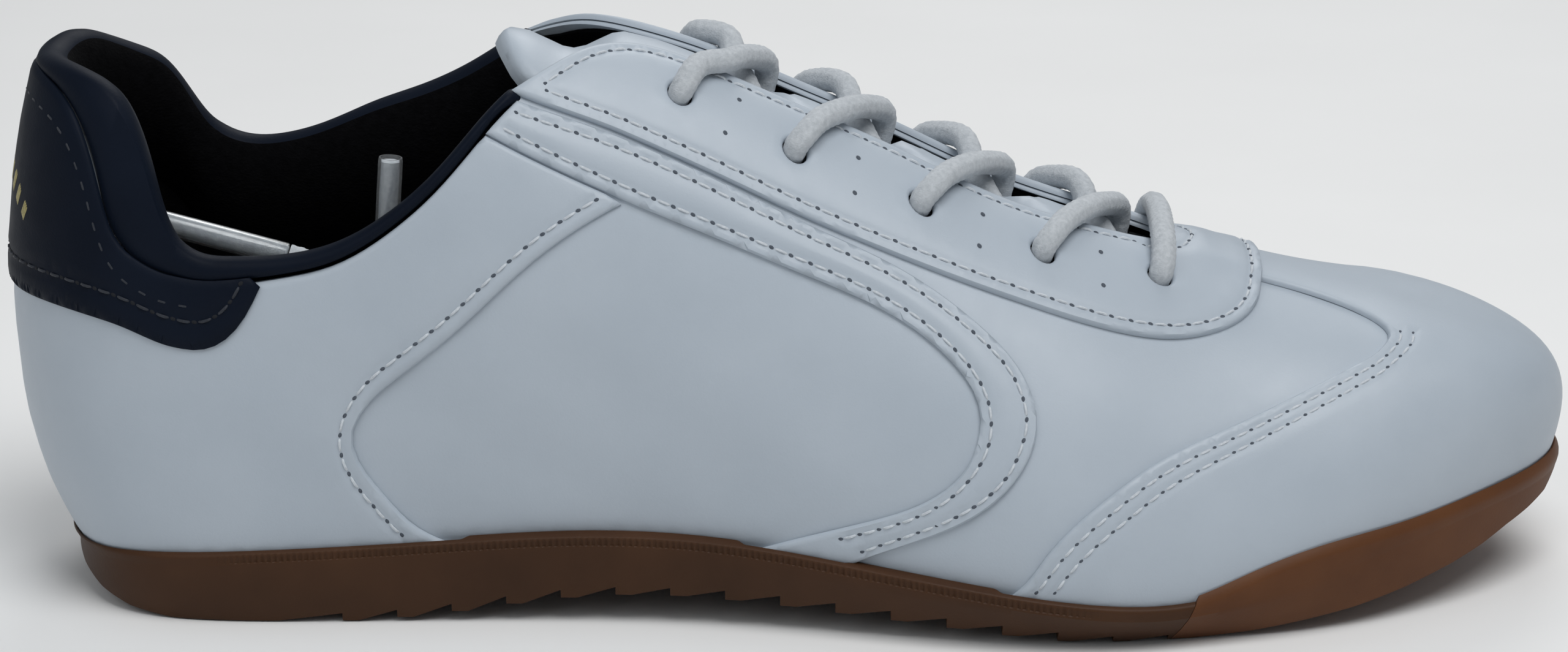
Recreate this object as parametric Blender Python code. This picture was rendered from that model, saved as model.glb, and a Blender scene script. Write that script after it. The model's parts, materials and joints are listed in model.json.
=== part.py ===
"""Court shoe, right foot, EU 43: a low leather upper on a gum rubber cup sole.

Lengths are in millimetres until place() turns them into metres. X runs from the heel (0)
to the toe (296), Y to the inner (medial) side of the foot and Z up from the ground.

The upper is drawn flat, as a pattern cutter does it. In the pattern plane the ridge over
the instep lies on the X axis, the sole line runs RIM to each side of it, and a round fan
closes each end. A family of cubic ribs folds the plane onto the last, and every sheet of
the upper is a pattern outline between two heights above the last.
"""
import math

import bmesh
import bpy
import numpy as np
from mathutils import Vector
from mathutils.geometry import delaunay_2d_cdt

# ---------------------------------------------------------------- driving dimensions, mm
METRES = 0.001
ORIGIN = (149.3, -0.8, 0.0)          # under the middle of the shoe
RIM = 80.0                           # pattern distance from the ridge to the sole line
HEEL_POLE, TOE_POLE = 40.0, 256.0    # ends of the ridge line, centres of the two fans
LATERAL, MEDIAL = -1, 1

# heights above the last of each layer: inner face, outer face
LINING = (-3.5, -2.9)
STIFFENER = (-2.4, -1.8)
BASE_LEATHER = (-1.0, 0.0)
OVERLAY = (0.6, 1.4)
TOP_OVERLAY = (2.0, 2.8)

# heights of the bottom parts above the sole line
SEAT = -3.2
SEAT_STEP = 1.5
INSOLE_BOARD = (-2.7, -1.3)
SOCK_LINER = (-0.8, 2.2)
SOLE_RIM = (1.8, 3.0)                # inner and outer face of the sole's upstanding edge
SOLE_RIM_HEIGHT = 2.2
GAP = 0.4

# how finely outlines and sheets are divided
EDGE_STEP = 6.5
FAN_STEPS = 20
LAYER_PITCH = (11.0, 8.0)
HEEL_PITCH = (9.0, 7.0)
PLATE_PITCH = (15.0, 22.0)

LACE_RADIUS = 2.1
TIGHT_LACE_RADIUS = 1.7              # where it is pulled flat through the eyelets
AGLET_RADIUS = 2.25
AGLET_LENGTH = 24.0
EYELET_RADIUS = 3.4
LINING_HOLE = 4.6
EYELETS = [(216.5, 16.8), (194.8, 19.0), (172.5, 19.5), (149.5, 19.2), (128.5, 15.8)]

TREAD_PITCH = 10.1
TREAD_STEP = 1.6
TREAD_LAND = 3.0
HEEL_PAD = (34.0, 51.0)

# the sole line and its ribs: station, x, y, then the rib's bulge, rise, reach and drop.
# Stations run from the toe tip (0) by the toe's side (1) and the heel's side (5) to 6.
SIDE_RIBS = {
    LATERAL: [
        (0.5, 283.2, -12.4, 6, 22, 36, 0), (1.0, 256.0, -33.5, 5, 23, 30, 0),
        (1.5, 229.0, -43.5, 5, 23, 28, 0), (2.0, 202.0, -48.5, 6, 24, 31, 0),
        (2.5, 175.0, -45.0, 6, 28, 30, 0), (3.0, 148.0, -38.0, 7, 32, 30, 0),
        (3.5, 121.0, -33.5, 8, 36, 33, 1), (4.0, 94.0, -32.5, 8, 38, 36, 2),
        (4.5, 66.0, -33.0, 5, 33, 32, 16), (5.0, 38.0, -32.0, 6, 33, 30, 22),
        (5.5, 21.0, -22.0, 15, 34, 30, 20),
    ],
    MEDIAL: [
        (0.5, 285.2, 25.4, 6, 22, 36, 0), (1.0, 257.0, 40.0, 5, 23, 32, 0),
        (1.5, 229.0, 46.0, 5, 23, 30, 0), (2.0, 202.0, 46.5, 6, 24, 31, 0),
        (2.5, 175.0, 41.0, 6, 28, 30, 0), (3.0, 148.0, 33.5, 8, 34, 30, 0),
        (3.5, 121.0, 28.5, 10, 40, 33, 1), (4.0, 94.0, 28.5, 10, 40, 36, 2),
        (4.5, 66.0, 31.0, 5, 33, 32, 16), (5.0, 38.0, 31.5, 6, 33, 30, 22),
        (5.5, 21.0, 22.0, 15, 34, 30, 20),
    ],
}
TOE_TIP_RIB = (0.0, 293.4, 8.0, 6, 21, 38, 0.5)
HEEL_BACK_RIB = (6.0, 15.0, 0.0, 24, 31, 30, 20)

# ridge over the instep and toe: x, y, z. Behind the throat it only steers the ribs.
RIDGE_LINE = [
    (40, 0, 150), (80, 0, 122), (99, 0, 110), (117, 0, 104.4), (134, 0, 99.2),
    (151, 0.2, 91.8), (167, 0.5, 84.8), (185, 1, 76), (206, 2, 68.1), (226, 3, 61.2),
    (246, 3.8, 55.6), (256, 4.2, 53.3),
]
# height of the sole line above the ground
SOLE_LINE = [
    (15, 9.0), (26, 10.6), (40, 11.6), (75, 13.4), (110, 15.5), (135, 15.1), (160, 12.6),
    (185, 9.6), (205, 7.2), (216, 6.6), (229, 8.0), (246, 12.0), (262, 15.6),
    (280, 18.4), (296, 19.4),
]
# lowest line of the tread, and how far its edge stands out from the sole line
TREAD_LINE = [(51, 0), (66, 0), (85, 1.7), (100, 4), (118, 5.6), (143, 5), (163, 3.8),
              (184, 2.0), (202, 0), (222, 0)]
TREAD_EDGE = [(15, 0.5), (60, 0.5), (120, 0), (160, -2), (202, -4), (240, -1.5),
              (262, 0), (296, 0)]
HEEL_BEVEL = [(-10, 30), (11, 10), (13, 7.6), (16, 5.2), (20, 3), (26, 1.1), HEEL_PAD[:1] + (0,)]
TOE_SPRING = [(222, 0), (233, 0.9), (243, 2.4), (252.5, 3.9), (262, 5.9), (272, 8.5),
              (278, 10.5), (283, 12.6), (288, 14.2), (292, 15.8), (295.5, 19.5), (301, 31)]
BUMPER_RIM = [(216, 2.2), (223, 3.4), (232, 5.2), (246, 5.8), (260, 4.4), (274, 3.7),
              (300, 3.6)]
BUMPER_JOINT = (218.0, 0.45)         # where it meets the outsole on the ground, and its lean


# ---------------------------------------------------------------- curves
def spline(knots, values, period=None):
    """A cubic spline through values at the knots: natural, or closed over a period."""
    knots, values = np.asarray(knots, float), np.asarray(values, float)
    count = len(knots)
    ends = np.append(knots, knots[0] + period) if period else knots
    gaps = np.diff(ends)
    system, right = np.eye(count), np.zeros_like(values)
    for i in range(0 if period else 1, count if period else count - 1):
        before, after = (i - 1) % count, (i + 1) % count
        back, ahead = gaps[i - 1], gaps[i]
        system[i, i] = 2 * (back + ahead)
        system[i, before] += back
        system[i, after] += ahead
        slope_ahead = (values[after] - values[i]) / ahead
        right[i] = 6 * (slope_ahead - (values[i] - values[before]) / back)
    bend = np.linalg.solve(system, right)

    def at(place_on_curve):
        u = np.asarray(place_on_curve, float)
        u = (u - knots[0]) % period + knots[0] if period else np.clip(u, knots[0], knots[-1])
        i = np.clip(np.searchsorted(knots, u, side="right") - 1, 0, len(gaps) - 1)
        j = (i + 1) % count
        width = gaps[i]
        a, b = (ends[i + 1] - u) / width, (u - ends[i]) / width
        if values.ndim > 1:
            a, b, width = a[..., None], b[..., None], width[..., None]
        bow = ((a ** 3 - a) * bend[i] + (b ** 3 - b) * bend[j]) * width ** 2 / 6
        return a * values[i] + b * values[j] + bow

    return at


def table(rows):
    """The spline through rows whose first number is the place."""
    rows = np.asarray(rows, float)
    return spline(rows[:, 0], rows[:, 1] if rows.shape[1] == 2 else rows[:, 1:])


def flow(points, step):
    """A smooth open line through the points, with a point about every step."""
    points = np.asarray(points, float)
    lengths = np.linalg.norm(np.diff(points, axis=0), axis=1)
    along = np.concatenate([[0], np.cumsum(lengths)])
    count = max(2, round(along[-1] / step) + 1)
    return [tuple(p) for p in spline(along, points)(np.linspace(0, along[-1], count))]


def mirrored(points, side):
    """Points drawn for the medial side, on the given side."""
    return [(x, abs(y) * side) for x, y in points]


# ---------------------------------------------------------------- the last
rib_rows = [(-row[0],) + row[1:] for row in SIDE_RIBS[LATERAL]]
rib_rows += [TOE_TIP_RIB, *SIDE_RIBS[MEDIAL], HEEL_BACK_RIB]
rib_rows = np.array(sorted(rib_rows), float)
sole_ribs = spline(rib_rows[:, 0], rib_rows[:, 1:], period=12.0)
ridge_line = table(RIDGE_LINE)
sole_height = table(SOLE_LINE)
tread_edge = table(TREAD_EDGE)
bumper_rim = table(BUMPER_RIM)


def unit(vectors):
    return vectors / np.linalg.norm(vectors, axis=-1, keepdims=True)


def sole_line(station):
    """Points of the sole line, and the level directions out of it."""
    row = sole_ribs(station)
    foot = np.stack([row[..., 0], row[..., 1], sole_height(row[..., 0])], -1)
    heading = unit(sole_ribs(station + 0.01)[..., :2] - sole_ribs(station - 0.01)[..., :2])
    level = np.zeros_like(heading[..., 0])
    return foot, np.stack([heading[..., 1], -heading[..., 0], level], -1), row


def rib(station, climb):
    """A point of the last: on the rib at a station, climb 0 at the sole to 1 at the ridge."""
    station, climb = np.broadcast_arrays(np.asarray(station, float), np.asarray(climb, float))
    foot, out, row = sole_line(station)
    bulge, rise, reach, drop = (row[..., i, None] for i in (2, 3, 4, 5))
    around, side = np.abs(station), np.where(station < 0, -1.0, 1.0)
    x = np.clip(TOE_POLE - (around - 1) / 4 * (TOE_POLE - HEEL_POLE), HEEL_POLE, TOE_POLE)
    crest = np.concatenate([x[..., None], ridge_line(x)], -1)
    ahead, behind = np.clip(x + 0.5, HEEL_POLE, TOE_POLE), np.clip(x - 0.5, HEEL_POLE, TOE_POLE)
    run = (ahead - behind)[..., None]
    tangent = unit(np.concatenate([run, ridge_line(ahead) - ridge_line(behind)], -1))
    turn = np.where(around < 1, around, np.where(around > 5, around - 4, 1.0)) * math.pi / 2
    ahead_part, side_part = np.cos(turn)[..., None], (np.sin(turn) * side)[..., None]
    across = np.array([0, 1.0, 0]) * side_part
    heading = np.where((around > 5)[..., None], np.array([1.0, 0, 0]), tangent) * ahead_part
    up = np.array([0, 0, 1.0])
    low_handle = foot + out * bulge + up * rise
    high_handle = crest + (heading + across) * reach - up * drop
    t = climb[..., None]
    s = 1 - t
    return (s ** 3 * foot + 3 * s ** 2 * t * low_handle + 3 * s * t ** 2 * high_handle
            + t ** 3 * crest)


def last(x, y):
    """The point of the last under a point of the pattern plane."""
    side = np.where(y < 0, -1.0, 1.0)
    toe, heel = x > TOE_POLE, x < HEEL_POLE
    past = np.where(toe, x - TOE_POLE, np.where(heel, HEEL_POLE - x, 0.0))
    angle = np.arctan2(np.abs(y), np.maximum(past, 1e-9)) / (math.pi / 2)
    along = 1 + 4 * (TOE_POLE - x) / (TOE_POLE - HEEL_POLE)
    station = np.where(toe, angle, np.where(heel, 6 - angle, along))
    return rib(side * station, 1 - np.hypot(past, y) / RIM)


def upper(x, y, height):
    """A point at a height above the last, along its normal."""
    x, y = np.asarray(x, float), np.asarray(y, float)
    step = 0.4
    along = last(x + step, y) - last(x - step, y)
    across = last(x, y + step) - last(x, y - step)
    return last(x, y) + unit(np.cross(along, across)) * np.asarray(height, float)[..., None]


def bottom(x, y, height):
    """A point at a height above the sole line's level, for the flat bottom parts."""
    return np.stack([x, y, sole_height(x) + height], -1)


# ---------------------------------------------------------------- solids
def place(points):
    return [tuple(p) for p in (np.asarray(points, float) - ORIGIN) * METRES]


def solid(name, points, faces, material):
    mesh = bpy.data.meshes.new(name)
    mesh.from_pydata(place(points), [], [tuple(int(i) for i in face) for face in faces])
    shape = bmesh.new()
    shape.from_mesh(mesh)
    bmesh.ops.recalc_face_normals(shape, faces=shape.faces)
    shape.to_mesh(mesh)
    shape.free()
    mesh.materials.append(MATERIALS[material])
    mesh.shade_smooth()
    mesh.set_sharp_from_angle(angle=math.radians(40))
    obj = bpy.data.objects.new(name, mesh)
    bpy.context.scene.collection.objects.link(obj)
    return obj


def inside(point, loop):
    x, y = point
    hit = False
    for (ax, ay), (bx, by) in zip(loop, loop[1:] + loop[:1]):
        if (ay > y) != (by > y) and x < ax + (y - ay) / (by - ay) * (bx - ax):
            hit = not hit
    return hit


def fill(outline, holes, pitch):
    """Flat triangles of a pattern piece, on its edges and a grid that all pieces share."""
    points, edges = [], []
    for loop in (outline, *holes):
        first = len(points)
        points += loop
        edges += [(first + i, first + (i + 1) % len(loop)) for i in range(len(loop))]
    border = np.array(points)
    low, high = np.floor(border.min(0) / pitch), np.ceil(border.max(0) / pitch)
    for i in range(int(low[0]), int(high[0]) + 1):
        for j in range(int(low[1]), int(high[1]) + 1):
            point = (i * pitch[0], (j + 0.5 * (i % 2)) * pitch[1])
            clear = np.linalg.norm((border - point) / pitch, axis=1).min() > 0.5
            if clear and inside(point, outline) and not any(inside(point, h) for h in holes):
                points.append(point)
    flat, _, faces, *_ = delaunay_2d_cdt([Vector(p) for p in points], edges, [], 0, 1e-4)
    kept = []
    for face in faces:
        centre = sum((flat[i] for i in face), Vector((0, 0))) / 3
        if inside(centre, outline) and not any(inside(centre, h) for h in holes):
            a, b, c = (flat[i] for i in face)
            kept.append(face if (b - a).cross(c - a) > 0 else face[::-1])
    return np.array([tuple(p) for p in flat]), kept


def border_edges(faces):
    """Directed edges that only one face has."""
    edges = {(f[i], f[(i + 1) % len(f)]) for f in faces for i in range(len(f))}
    return sorted(e for e in edges if (e[1], e[0]) not in edges)


def sheet(name, material, layer, outline, holes=(), pitch=LAYER_PITCH, on=upper):
    """A pattern piece with thickness. A layer's heights may be functions of x and y."""
    flat, faces = fill(outline, holes, pitch)
    x, y = flat[:, 0], flat[:, 1]
    heights = [h(x, y) if callable(h) else np.full(len(x), h) for h in layer]
    count = len(flat)
    points = np.concatenate([on(x, y, h) for h in heights])
    skin = [tuple(i + count for i in f) for f in faces] + [f[::-1] for f in faces]
    walls = [(a, b, b + count, a + count) for a, b in border_edges(faces)]
    used = sorted({i for f in skin + walls for i in f})
    index = {old: new for new, old in enumerate(used)}
    return solid(name, points[used], [[index[i] for i in f] for f in skin + walls], material)


def swept(name, material, sections):
    """A solid along a row of sections, each the same number of points."""
    sections = np.asarray(sections)
    rows, count = sections.shape[:2]
    faces = [tuple(range(count)), tuple((rows - 1) * count + i for i in reversed(range(count)))]
    for r in range(rows - 1):
        for i in range(count):
            j = (i + 1) % count
            faces.append((r * count + j, r * count + i, (r + 1) * count + i, (r + 1) * count + j))
    return solid(name, sections.reshape(-1, 3), faces, material)


def tube(name, material, points, radius, roundness=2):
    """A round cord along the points."""
    line = bpy.data.curves.new(name, "CURVE")
    line.dimensions = "3D"
    line.bevel_depth = radius * METRES
    line.bevel_resolution = roundness
    line.use_fill_caps = True
    run = line.splines.new("POLY")
    run.points.add(len(points) - 1)
    for knot, point in zip(run.points, place(points)):
        knot.co = (*point, 1.0)
    line.materials.append(MATERIALS[material])
    obj = bpy.data.objects.new(name, line)
    bpy.context.scene.collection.objects.link(obj)
    return obj


def cut(obj, cutter):
    """Take the cutter away from an object, and keep the cutter as a hidden guide."""
    cutter.hide_render = True
    cutter.display_type = "WIRE"
    boolean = obj.modifiers.new("cut_" + cutter.name, "BOOLEAN")
    boolean.operation = "DIFFERENCE"
    boolean.solver = "EXACT"
    boolean.object = cutter


def material(name, colour, roughness, metallic=0.0):
    made = bpy.data.materials.new(name)
    made.use_nodes = True
    shader = made.node_tree.nodes["Principled BSDF"]
    shader.inputs["Base Color"].default_value = (*colour, 1.0)
    shader.inputs["Roughness"].default_value = roughness
    shader.inputs["Metallic"].default_value = metallic
    return made


for old in list(bpy.data.objects):
    bpy.data.objects.remove(old)

MATERIALS = {
    "white_leather": material("white_leather", (0.62, 0.66, 0.70), 0.42),
    "navy_leather": material("navy_leather", (0.012, 0.018, 0.036), 0.45),
    "black_lining": material("black_lining", (0.006, 0.006, 0.008), 0.9),
    "gum_rubber": material("gum_rubber", (0.16, 0.055, 0.018), 0.5),
    "white_lace": material("white_lace", (0.66, 0.69, 0.72), 0.85),
    "clear_plastic": material("clear_plastic", (0.5, 0.52, 0.53), 0.15),
    "foam": material("foam", (0.75, 0.72, 0.62), 0.95),
    "fibreboard": material("fibreboard", (0.45, 0.36, 0.25), 0.9),
    "counter_board": material("counter_board", (0.5, 0.46, 0.38), 0.8),
    "spring_steel": material("spring_steel", (0.55, 0.55, 0.55), 0.35, 1.0),
}


# ---------------------------------------------------------------- pattern lines
# drawn for the medial side (y positive) and mirrored for the lateral side
THROAT_EDGE = [(98.3, 22.6), (104.5, 17.2), (112, 10.5), (119, 7.0), (134, 7.2), (150, 8),
               (166, 8.6), (184, 9), (204, 8.2), (212, 7.2)]
THROAT_END = [(212, -7.2), (217.5, -5), (219.8, 0), (217.5, 5), (212, 7.2)]
EYESTAY_EDGE = [(98.3, 22.8), (105.3, 23.6), (116, 24.9), (127, 26.8), (148, 29.6),
                (169, 30.6), (190, 29.9), (209, 30.3), (217, 29.7), (225.5, 27.2),
                (231.5, 23), (235, 17), (236.4, 9), (236.8, 0)]
STRIPE_OUTER = [(100.4, 24.4), (116, 25.9), (133.5, 28.6), (155, 31.2), (173, 33.2),
                (184, 36.8), (190.5, 41.5), (193.2, 48.5), (190.5, 56), (183.4, 64),
                (172, 71.5), (163, 76.2), (157, 80)]
STRIPE_INNER = [(97.2, 30.2), (119, 35), (150, 38.4), (168, 40), (177, 42.8),
                (182.8, 48), (182.8, 54.5), (176.5, 63.4), (162, 71.5), (148, 77.2),
                (141, 80)]
STRIPE_MIDDLE = [(99, 27.8), (118, 31.2), (142, 34), (171, 36.8), (182, 41),
                 (188, 48.5), (185, 57.5), (177, 66), (162, 75), (150, 80)]
QUARTER_EDGE = [(118.4, 35.6), (103, 44.4), (87.2, 53.9), (77, 58.3), (72, 61),
                (69.6, 64.5), (70.6, 67.2), (74, 71), (80, 76.4), (88, 80)]
TOE_CAP_EDGE = [(187.5, 80), (191.4, 75.5), (194.5, 70.5), (198.6, 65), (206, 57.8),
                (213, 52.4), (229.9, 44.8), (251.5, 33), (257.4, 27), (259.2, 21.8),
                (257.3, 17.2), (252.5, 13), (246.8, 10.6), (240, 9.3), (231, 8.2), (226.6, 5),
                (225.4, 0)]
PATCH_EDGE = [(54.5, 48.6), (51.5, 52), (47, 54.6), (41, 55.4), (33, 54.4), (23, 51),
              (14, 46.3), (3, 37.3), (-6, 24.5), (-11, 9), (-11.8, 0)]

# the padded collar: top line x, y and outer seam x, y from the back of the heel forward
COLLAR = {
    LATERAL: [
        (11, -15, 10, -15.5), (18, -25, 15.3, -26.5), (25.5, -32, 18.8, -35),
        (31.5, -39, 21.5, -41.5), (36, -44.5, 29, -46.8), (42, -47.3, 38, -49.6),
        (50, -47.2, 48, -49.9), (58, -46.3, 58, -48.7), (66.5, -44.7, 67.5, -47),
        (75, -41.8, 76.5, -43.8), (84, -36.9, 85.5, -38.8), (91.5, -30.3, 93, -32.2),
        (97, -24.5, 98.6, -26.2),
    ],
    MEDIAL: [
        (10.5, 14, 9.5, 14.5), (15, 23.5, 13.3, 25), (20.5, 30, 16.8, 32.5),
        (26, 34.5, 20, 38), (31.5, 39.2, 25, 42.5), (37, 42.8, 32, 45.7),
        (44, 44, 41, 46.4), (52, 43, 50.5, 45.4), (60, 40.8, 60, 43.2),
        (69, 37.8, 70, 40.1), (78, 35.5, 79.5, 37.5), (87.2, 31.9, 88.7, 33.9),
        (97, 24.5, 98.6, 26.2),
    ],
}
COLLAR_BACK = (7.5, 0, 6.3, 0)
COLLAR_STATIONS = 45
COLLAR_DEPTH = 24.0                  # how far its padded inside reaches down


def sole_edge(x_from, x_to, side):
    """The sole line on one side, from one x to another."""
    return flow([(x_from, side * RIM), (x_to, side * RIM)], 1.4 * EDGE_STEP)


def toe_fan():
    """The sole line round the toe, from the lateral to the medial side."""
    turns = np.linspace(-math.pi / 2, math.pi / 2, FAN_STEPS + 1)
    return [(TOE_POLE + RIM * math.cos(a), RIM * math.sin(a)) for a in turns]


def heel_fan(side, reach=RIM):
    """The sole line round the heel, from the middle of the back to one side."""
    turns = np.linspace(0.004, math.pi / 2, FAN_STEPS // 2 + 1)
    return [(HEEL_POLE - reach * math.cos(a), side * reach * math.sin(a)) for a in turns]


def back_seam(side, top):
    """The seam up the back of the heel, from the top down to the sole line."""
    return flow([(top, side * 0.35), (HEEL_POLE - RIM, side * 0.35)], EDGE_STEP * 0.7)


def beside(line, distance):
    """A line drawn beside another, to its left for a positive distance."""
    line = np.asarray(line, float)
    heading = unit(np.gradient(line, axis=0))
    return [(x - h * distance, y + g * distance) for (x, y), (g, h) in zip(line, heading)]


def joined(*lines):
    """One closed outline from lines that follow each other."""
    outline = []
    for line in lines:
        for point in line:
            if not outline or math.dist(point, outline[-1]) > 0.05:
                outline.append(tuple(float(c) for c in point))
    if math.dist(outline[0], outline[-1]) < 0.05:
        outline.pop()
    return outline


def collar_line(side, down=0.6):
    """A line a little below the seam of the collar, from the back to the front."""
    rows = [COLLAR_BACK, *COLLAR[side]]
    seam = flow([(row[2], row[3]) for row in rows], EDGE_STEP * 0.9)
    line = beside(seam, side * down)
    line[0] = (line[0][0], side * 0.35)
    return line


def eyelet_holes(sides, radius=EYELET_RADIUS):
    turns = [2 * math.pi * (i + 0.5) / 8 for i in range(8)]
    return [[(x + radius * math.cos(a), side * y + radius * math.sin(a)) for a in turns]
            for side in sides for x, y in EYELETS]


# ---------------------------------------------------------------- upper
def throat(grow=0.0):
    """The whole edge of the throat, from the lateral tip round the front to the medial."""
    lateral = [(x, y + grow) for x, y in mirrored(THROAT_EDGE, LATERAL)]
    medial = [(x, y - grow) for x, y in THROAT_EDGE]
    return joined(flow(lateral, EDGE_STEP), flow(THROAT_END, EDGE_STEP * 0.7),
                  flow(medial[::-1], EDGE_STEP))


def base_leather():
    """Vamp and the two side panels, which meet under the stripes."""
    seam = flow(STRIPE_MIDDLE, EDGE_STEP)
    ahead, behind = beside(seam, -0.3), beside(seam, 0.3)
    ahead[-1], behind[-1] = (seam[-1][0] + 0.3, RIM), (seam[-1][0] - 0.3, RIM)
    outline = joined(mirrored(ahead, LATERAL), sole_edge(ahead[-1][0], TOE_POLE, LATERAL),
                     toe_fan(), sole_edge(TOE_POLE, ahead[-1][0], MEDIAL), ahead[::-1],
                     throat()[::-1])
    sheet("vamp", "white_leather", BASE_LEATHER, outline,
          eyelet_holes((LATERAL, MEDIAL)))
    for side, word in ((LATERAL, "lateral"), (MEDIAL, "medial")):
        top = collar_line(side)[:-1]
        outline = joined(heel_fan(side), sole_edge(HEEL_POLE, behind[-1][0], side),
                         mirrored(behind[::-1], side), top[::-1], back_seam(side, top[0][0]))
        sheet("side_panel_" + word, "white_leather", BASE_LEATHER, outline, pitch=HEEL_PITCH)


def overlays():
    """Toe cap, stripes and rear quarters, stitched onto the base leather."""
    edge = flow(TOE_CAP_EDGE, EDGE_STEP)
    outline = joined(mirrored(edge, LATERAL)[::-1], sole_edge(edge[0][0], TOE_POLE, LATERAL),
                     toe_fan(), sole_edge(TOE_POLE, edge[0][0], MEDIAL), edge)
    sheet("toe_cap", "white_leather", OVERLAY, outline)
    stripe = flow(STRIPE_INNER, EDGE_STEP)
    stripe_end = [p for p in beside(stripe, 0.7) if p[0] < QUARTER_EDGE[0][0] - 2 and p[1] < 40]
    for side, word in ((LATERAL, "lateral"), (MEDIAL, "medial")):
        outline = joined(flow(mirrored(STRIPE_OUTER, side), EDGE_STEP),
                         mirrored(stripe[::-1], side))
        sheet("side_stripe_" + word, "white_leather", OVERLAY, outline)
        top = [p for p in collar_line(side) if p[0] < stripe_end[0][0] - 2]
        outline = joined(heel_fan(side), sole_edge(HEEL_POLE, 88, side),
                         flow(mirrored(QUARTER_EDGE[::-1], side), EDGE_STEP),
                         mirrored(stripe_end[::-1], side), top[::-1],
                         back_seam(side, top[0][0]))
        sheet("rear_quarter_" + word, "white_leather", OVERLAY, outline, pitch=HEEL_PITCH)


def top_overlays():
    """Eyestay round the throat and the heel patch."""
    edge = flow(EYESTAY_EDGE, EDGE_STEP)
    outline = joined(mirrored(edge, LATERAL), edge[::-1], throat()[::-1])
    sheet("eyestay", "white_leather", TOP_OVERLAY, outline, eyelet_holes((LATERAL, MEDIAL)))
    seam = {side: [p for p in collar_line(side, 0.9) if p[0] < 54] for side in (LATERAL, MEDIAL)}
    edge = flow(PATCH_EDGE, EDGE_STEP)
    outline = joined(seam[LATERAL][:0:-1], seam[MEDIAL][1:], edge,
                     mirrored(edge[::-1], LATERAL))
    sheet("heel_patch", "navy_leather", TOP_OVERLAY, outline)


def stiffeners():
    """The stiff toe puff and heel counter between the leather and the lining."""
    arc = [(TOE_POLE - 26, y) for y in (RIM, 40, 0, -40, -RIM)]
    outline = joined(sole_edge(TOE_POLE - 26, TOE_POLE, LATERAL), toe_fan(),
                     sole_edge(TOE_POLE, TOE_POLE - 26, MEDIAL), flow(arc, EDGE_STEP))
    sheet("toe_puff", "counter_board", STIFFENER, outline)
    wing = [(84, RIM), (80, 70), (70, 62), (55, 59), (HEEL_POLE, 58)]
    brow = heel_fan(MEDIAL, 58)
    outline = joined(flow(wing, EDGE_STEP * 1.3), brow[::-1], mirrored(brow, LATERAL),
                     flow(mirrored(wing[::-1], LATERAL), EDGE_STEP * 1.3),
                     sole_edge(84, HEEL_POLE, LATERAL), heel_fan(LATERAL)[::-1],
                     heel_fan(MEDIAL), sole_edge(HEEL_POLE, 84, MEDIAL))
    sheet("heel_counter", "counter_board", STIFFENER, outline, pitch=HEEL_PITCH)


def linings():
    """Vamp lining under the front, quarter lining behind it below the padded collar."""
    split = 103.5
    rear = [(split, y) for y in (RIM, 62, 44, 21)]
    outline = joined(flow(mirrored(rear[::-1], LATERAL), 12), sole_edge(split, TOE_POLE, LATERAL),
                     toe_fan(), sole_edge(TOE_POLE, split, MEDIAL), flow(rear, 12),
                     [p for p in throat()[::-1] if p[0] > split + 2])
    sheet("vamp_lining", "black_lining", LINING, outline,
          eyelet_holes((LATERAL, MEDIAL), LINING_HOLE))
    tops = {side: [lowered(row[0], row[1], COLLAR_DEPTH + 1.5) for row in COLLAR[side]]
            for side in (LATERAL, MEDIAL)}
    back = lowered(*COLLAR_BACK[:2], COLLAR_DEPTH + 1.5)
    line = [*tops[LATERAL][::-1], back, *tops[MEDIAL]]
    front = {side: [(split - 0.6, line[-1][1] * side), (split - 0.6, side * RIM)]
             for side in (LATERAL, MEDIAL)}
    outline = joined(flow(line, EDGE_STEP * 1.3), flow(front[MEDIAL], 12),
                     sole_edge(split - 0.6, HEEL_POLE, MEDIAL), heel_fan(MEDIAL)[::-1],
                     heel_fan(LATERAL), sole_edge(HEEL_POLE, split - 0.6, LATERAL),
                     flow(front[LATERAL][::-1], 12))
    sheet("quarter_lining", "black_lining", LINING, outline, pitch=HEEL_PITCH)


# ---------------------------------------------------------------- padded collar
def lowered(x, y, depth):
    """The pattern point a depth in mm below another, down its rib."""
    away = np.array([min(x - HEEL_POLE, 0.0), y])
    away = away / np.linalg.norm(away)
    stride = np.linalg.norm(last(x + away[0], y + away[1]) - last(x, y))
    return (x + away[0] * depth / stride, y + away[1] * depth / stride)


def collar_section(top, seam, profile):
    """Points of a collar section. Each profile row is a zone, a place in it and a height.

    Zone 's' counts from the top line (0) to the seam (1), 'u' in mm above the top line
    and 'd' in mm below it on the inside.
    """
    at_top = upper(*top, 0.0)
    normal = upper(*top, 1.0) - at_top
    below = upper(*lowered(*top, 2.0), 0.0)
    up = unit(at_top - below)
    points = []
    for zone, where, height in profile:
        if zone == "s":
            mixed = np.array(top) * (1 - where) + np.array(seam) * where
            points.append(upper(*mixed, height))
        elif zone == "u":
            points.append(at_top + up * where + normal * height)
        else:
            points.append(upper(*lowered(*top, where), height))
    return points


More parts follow.
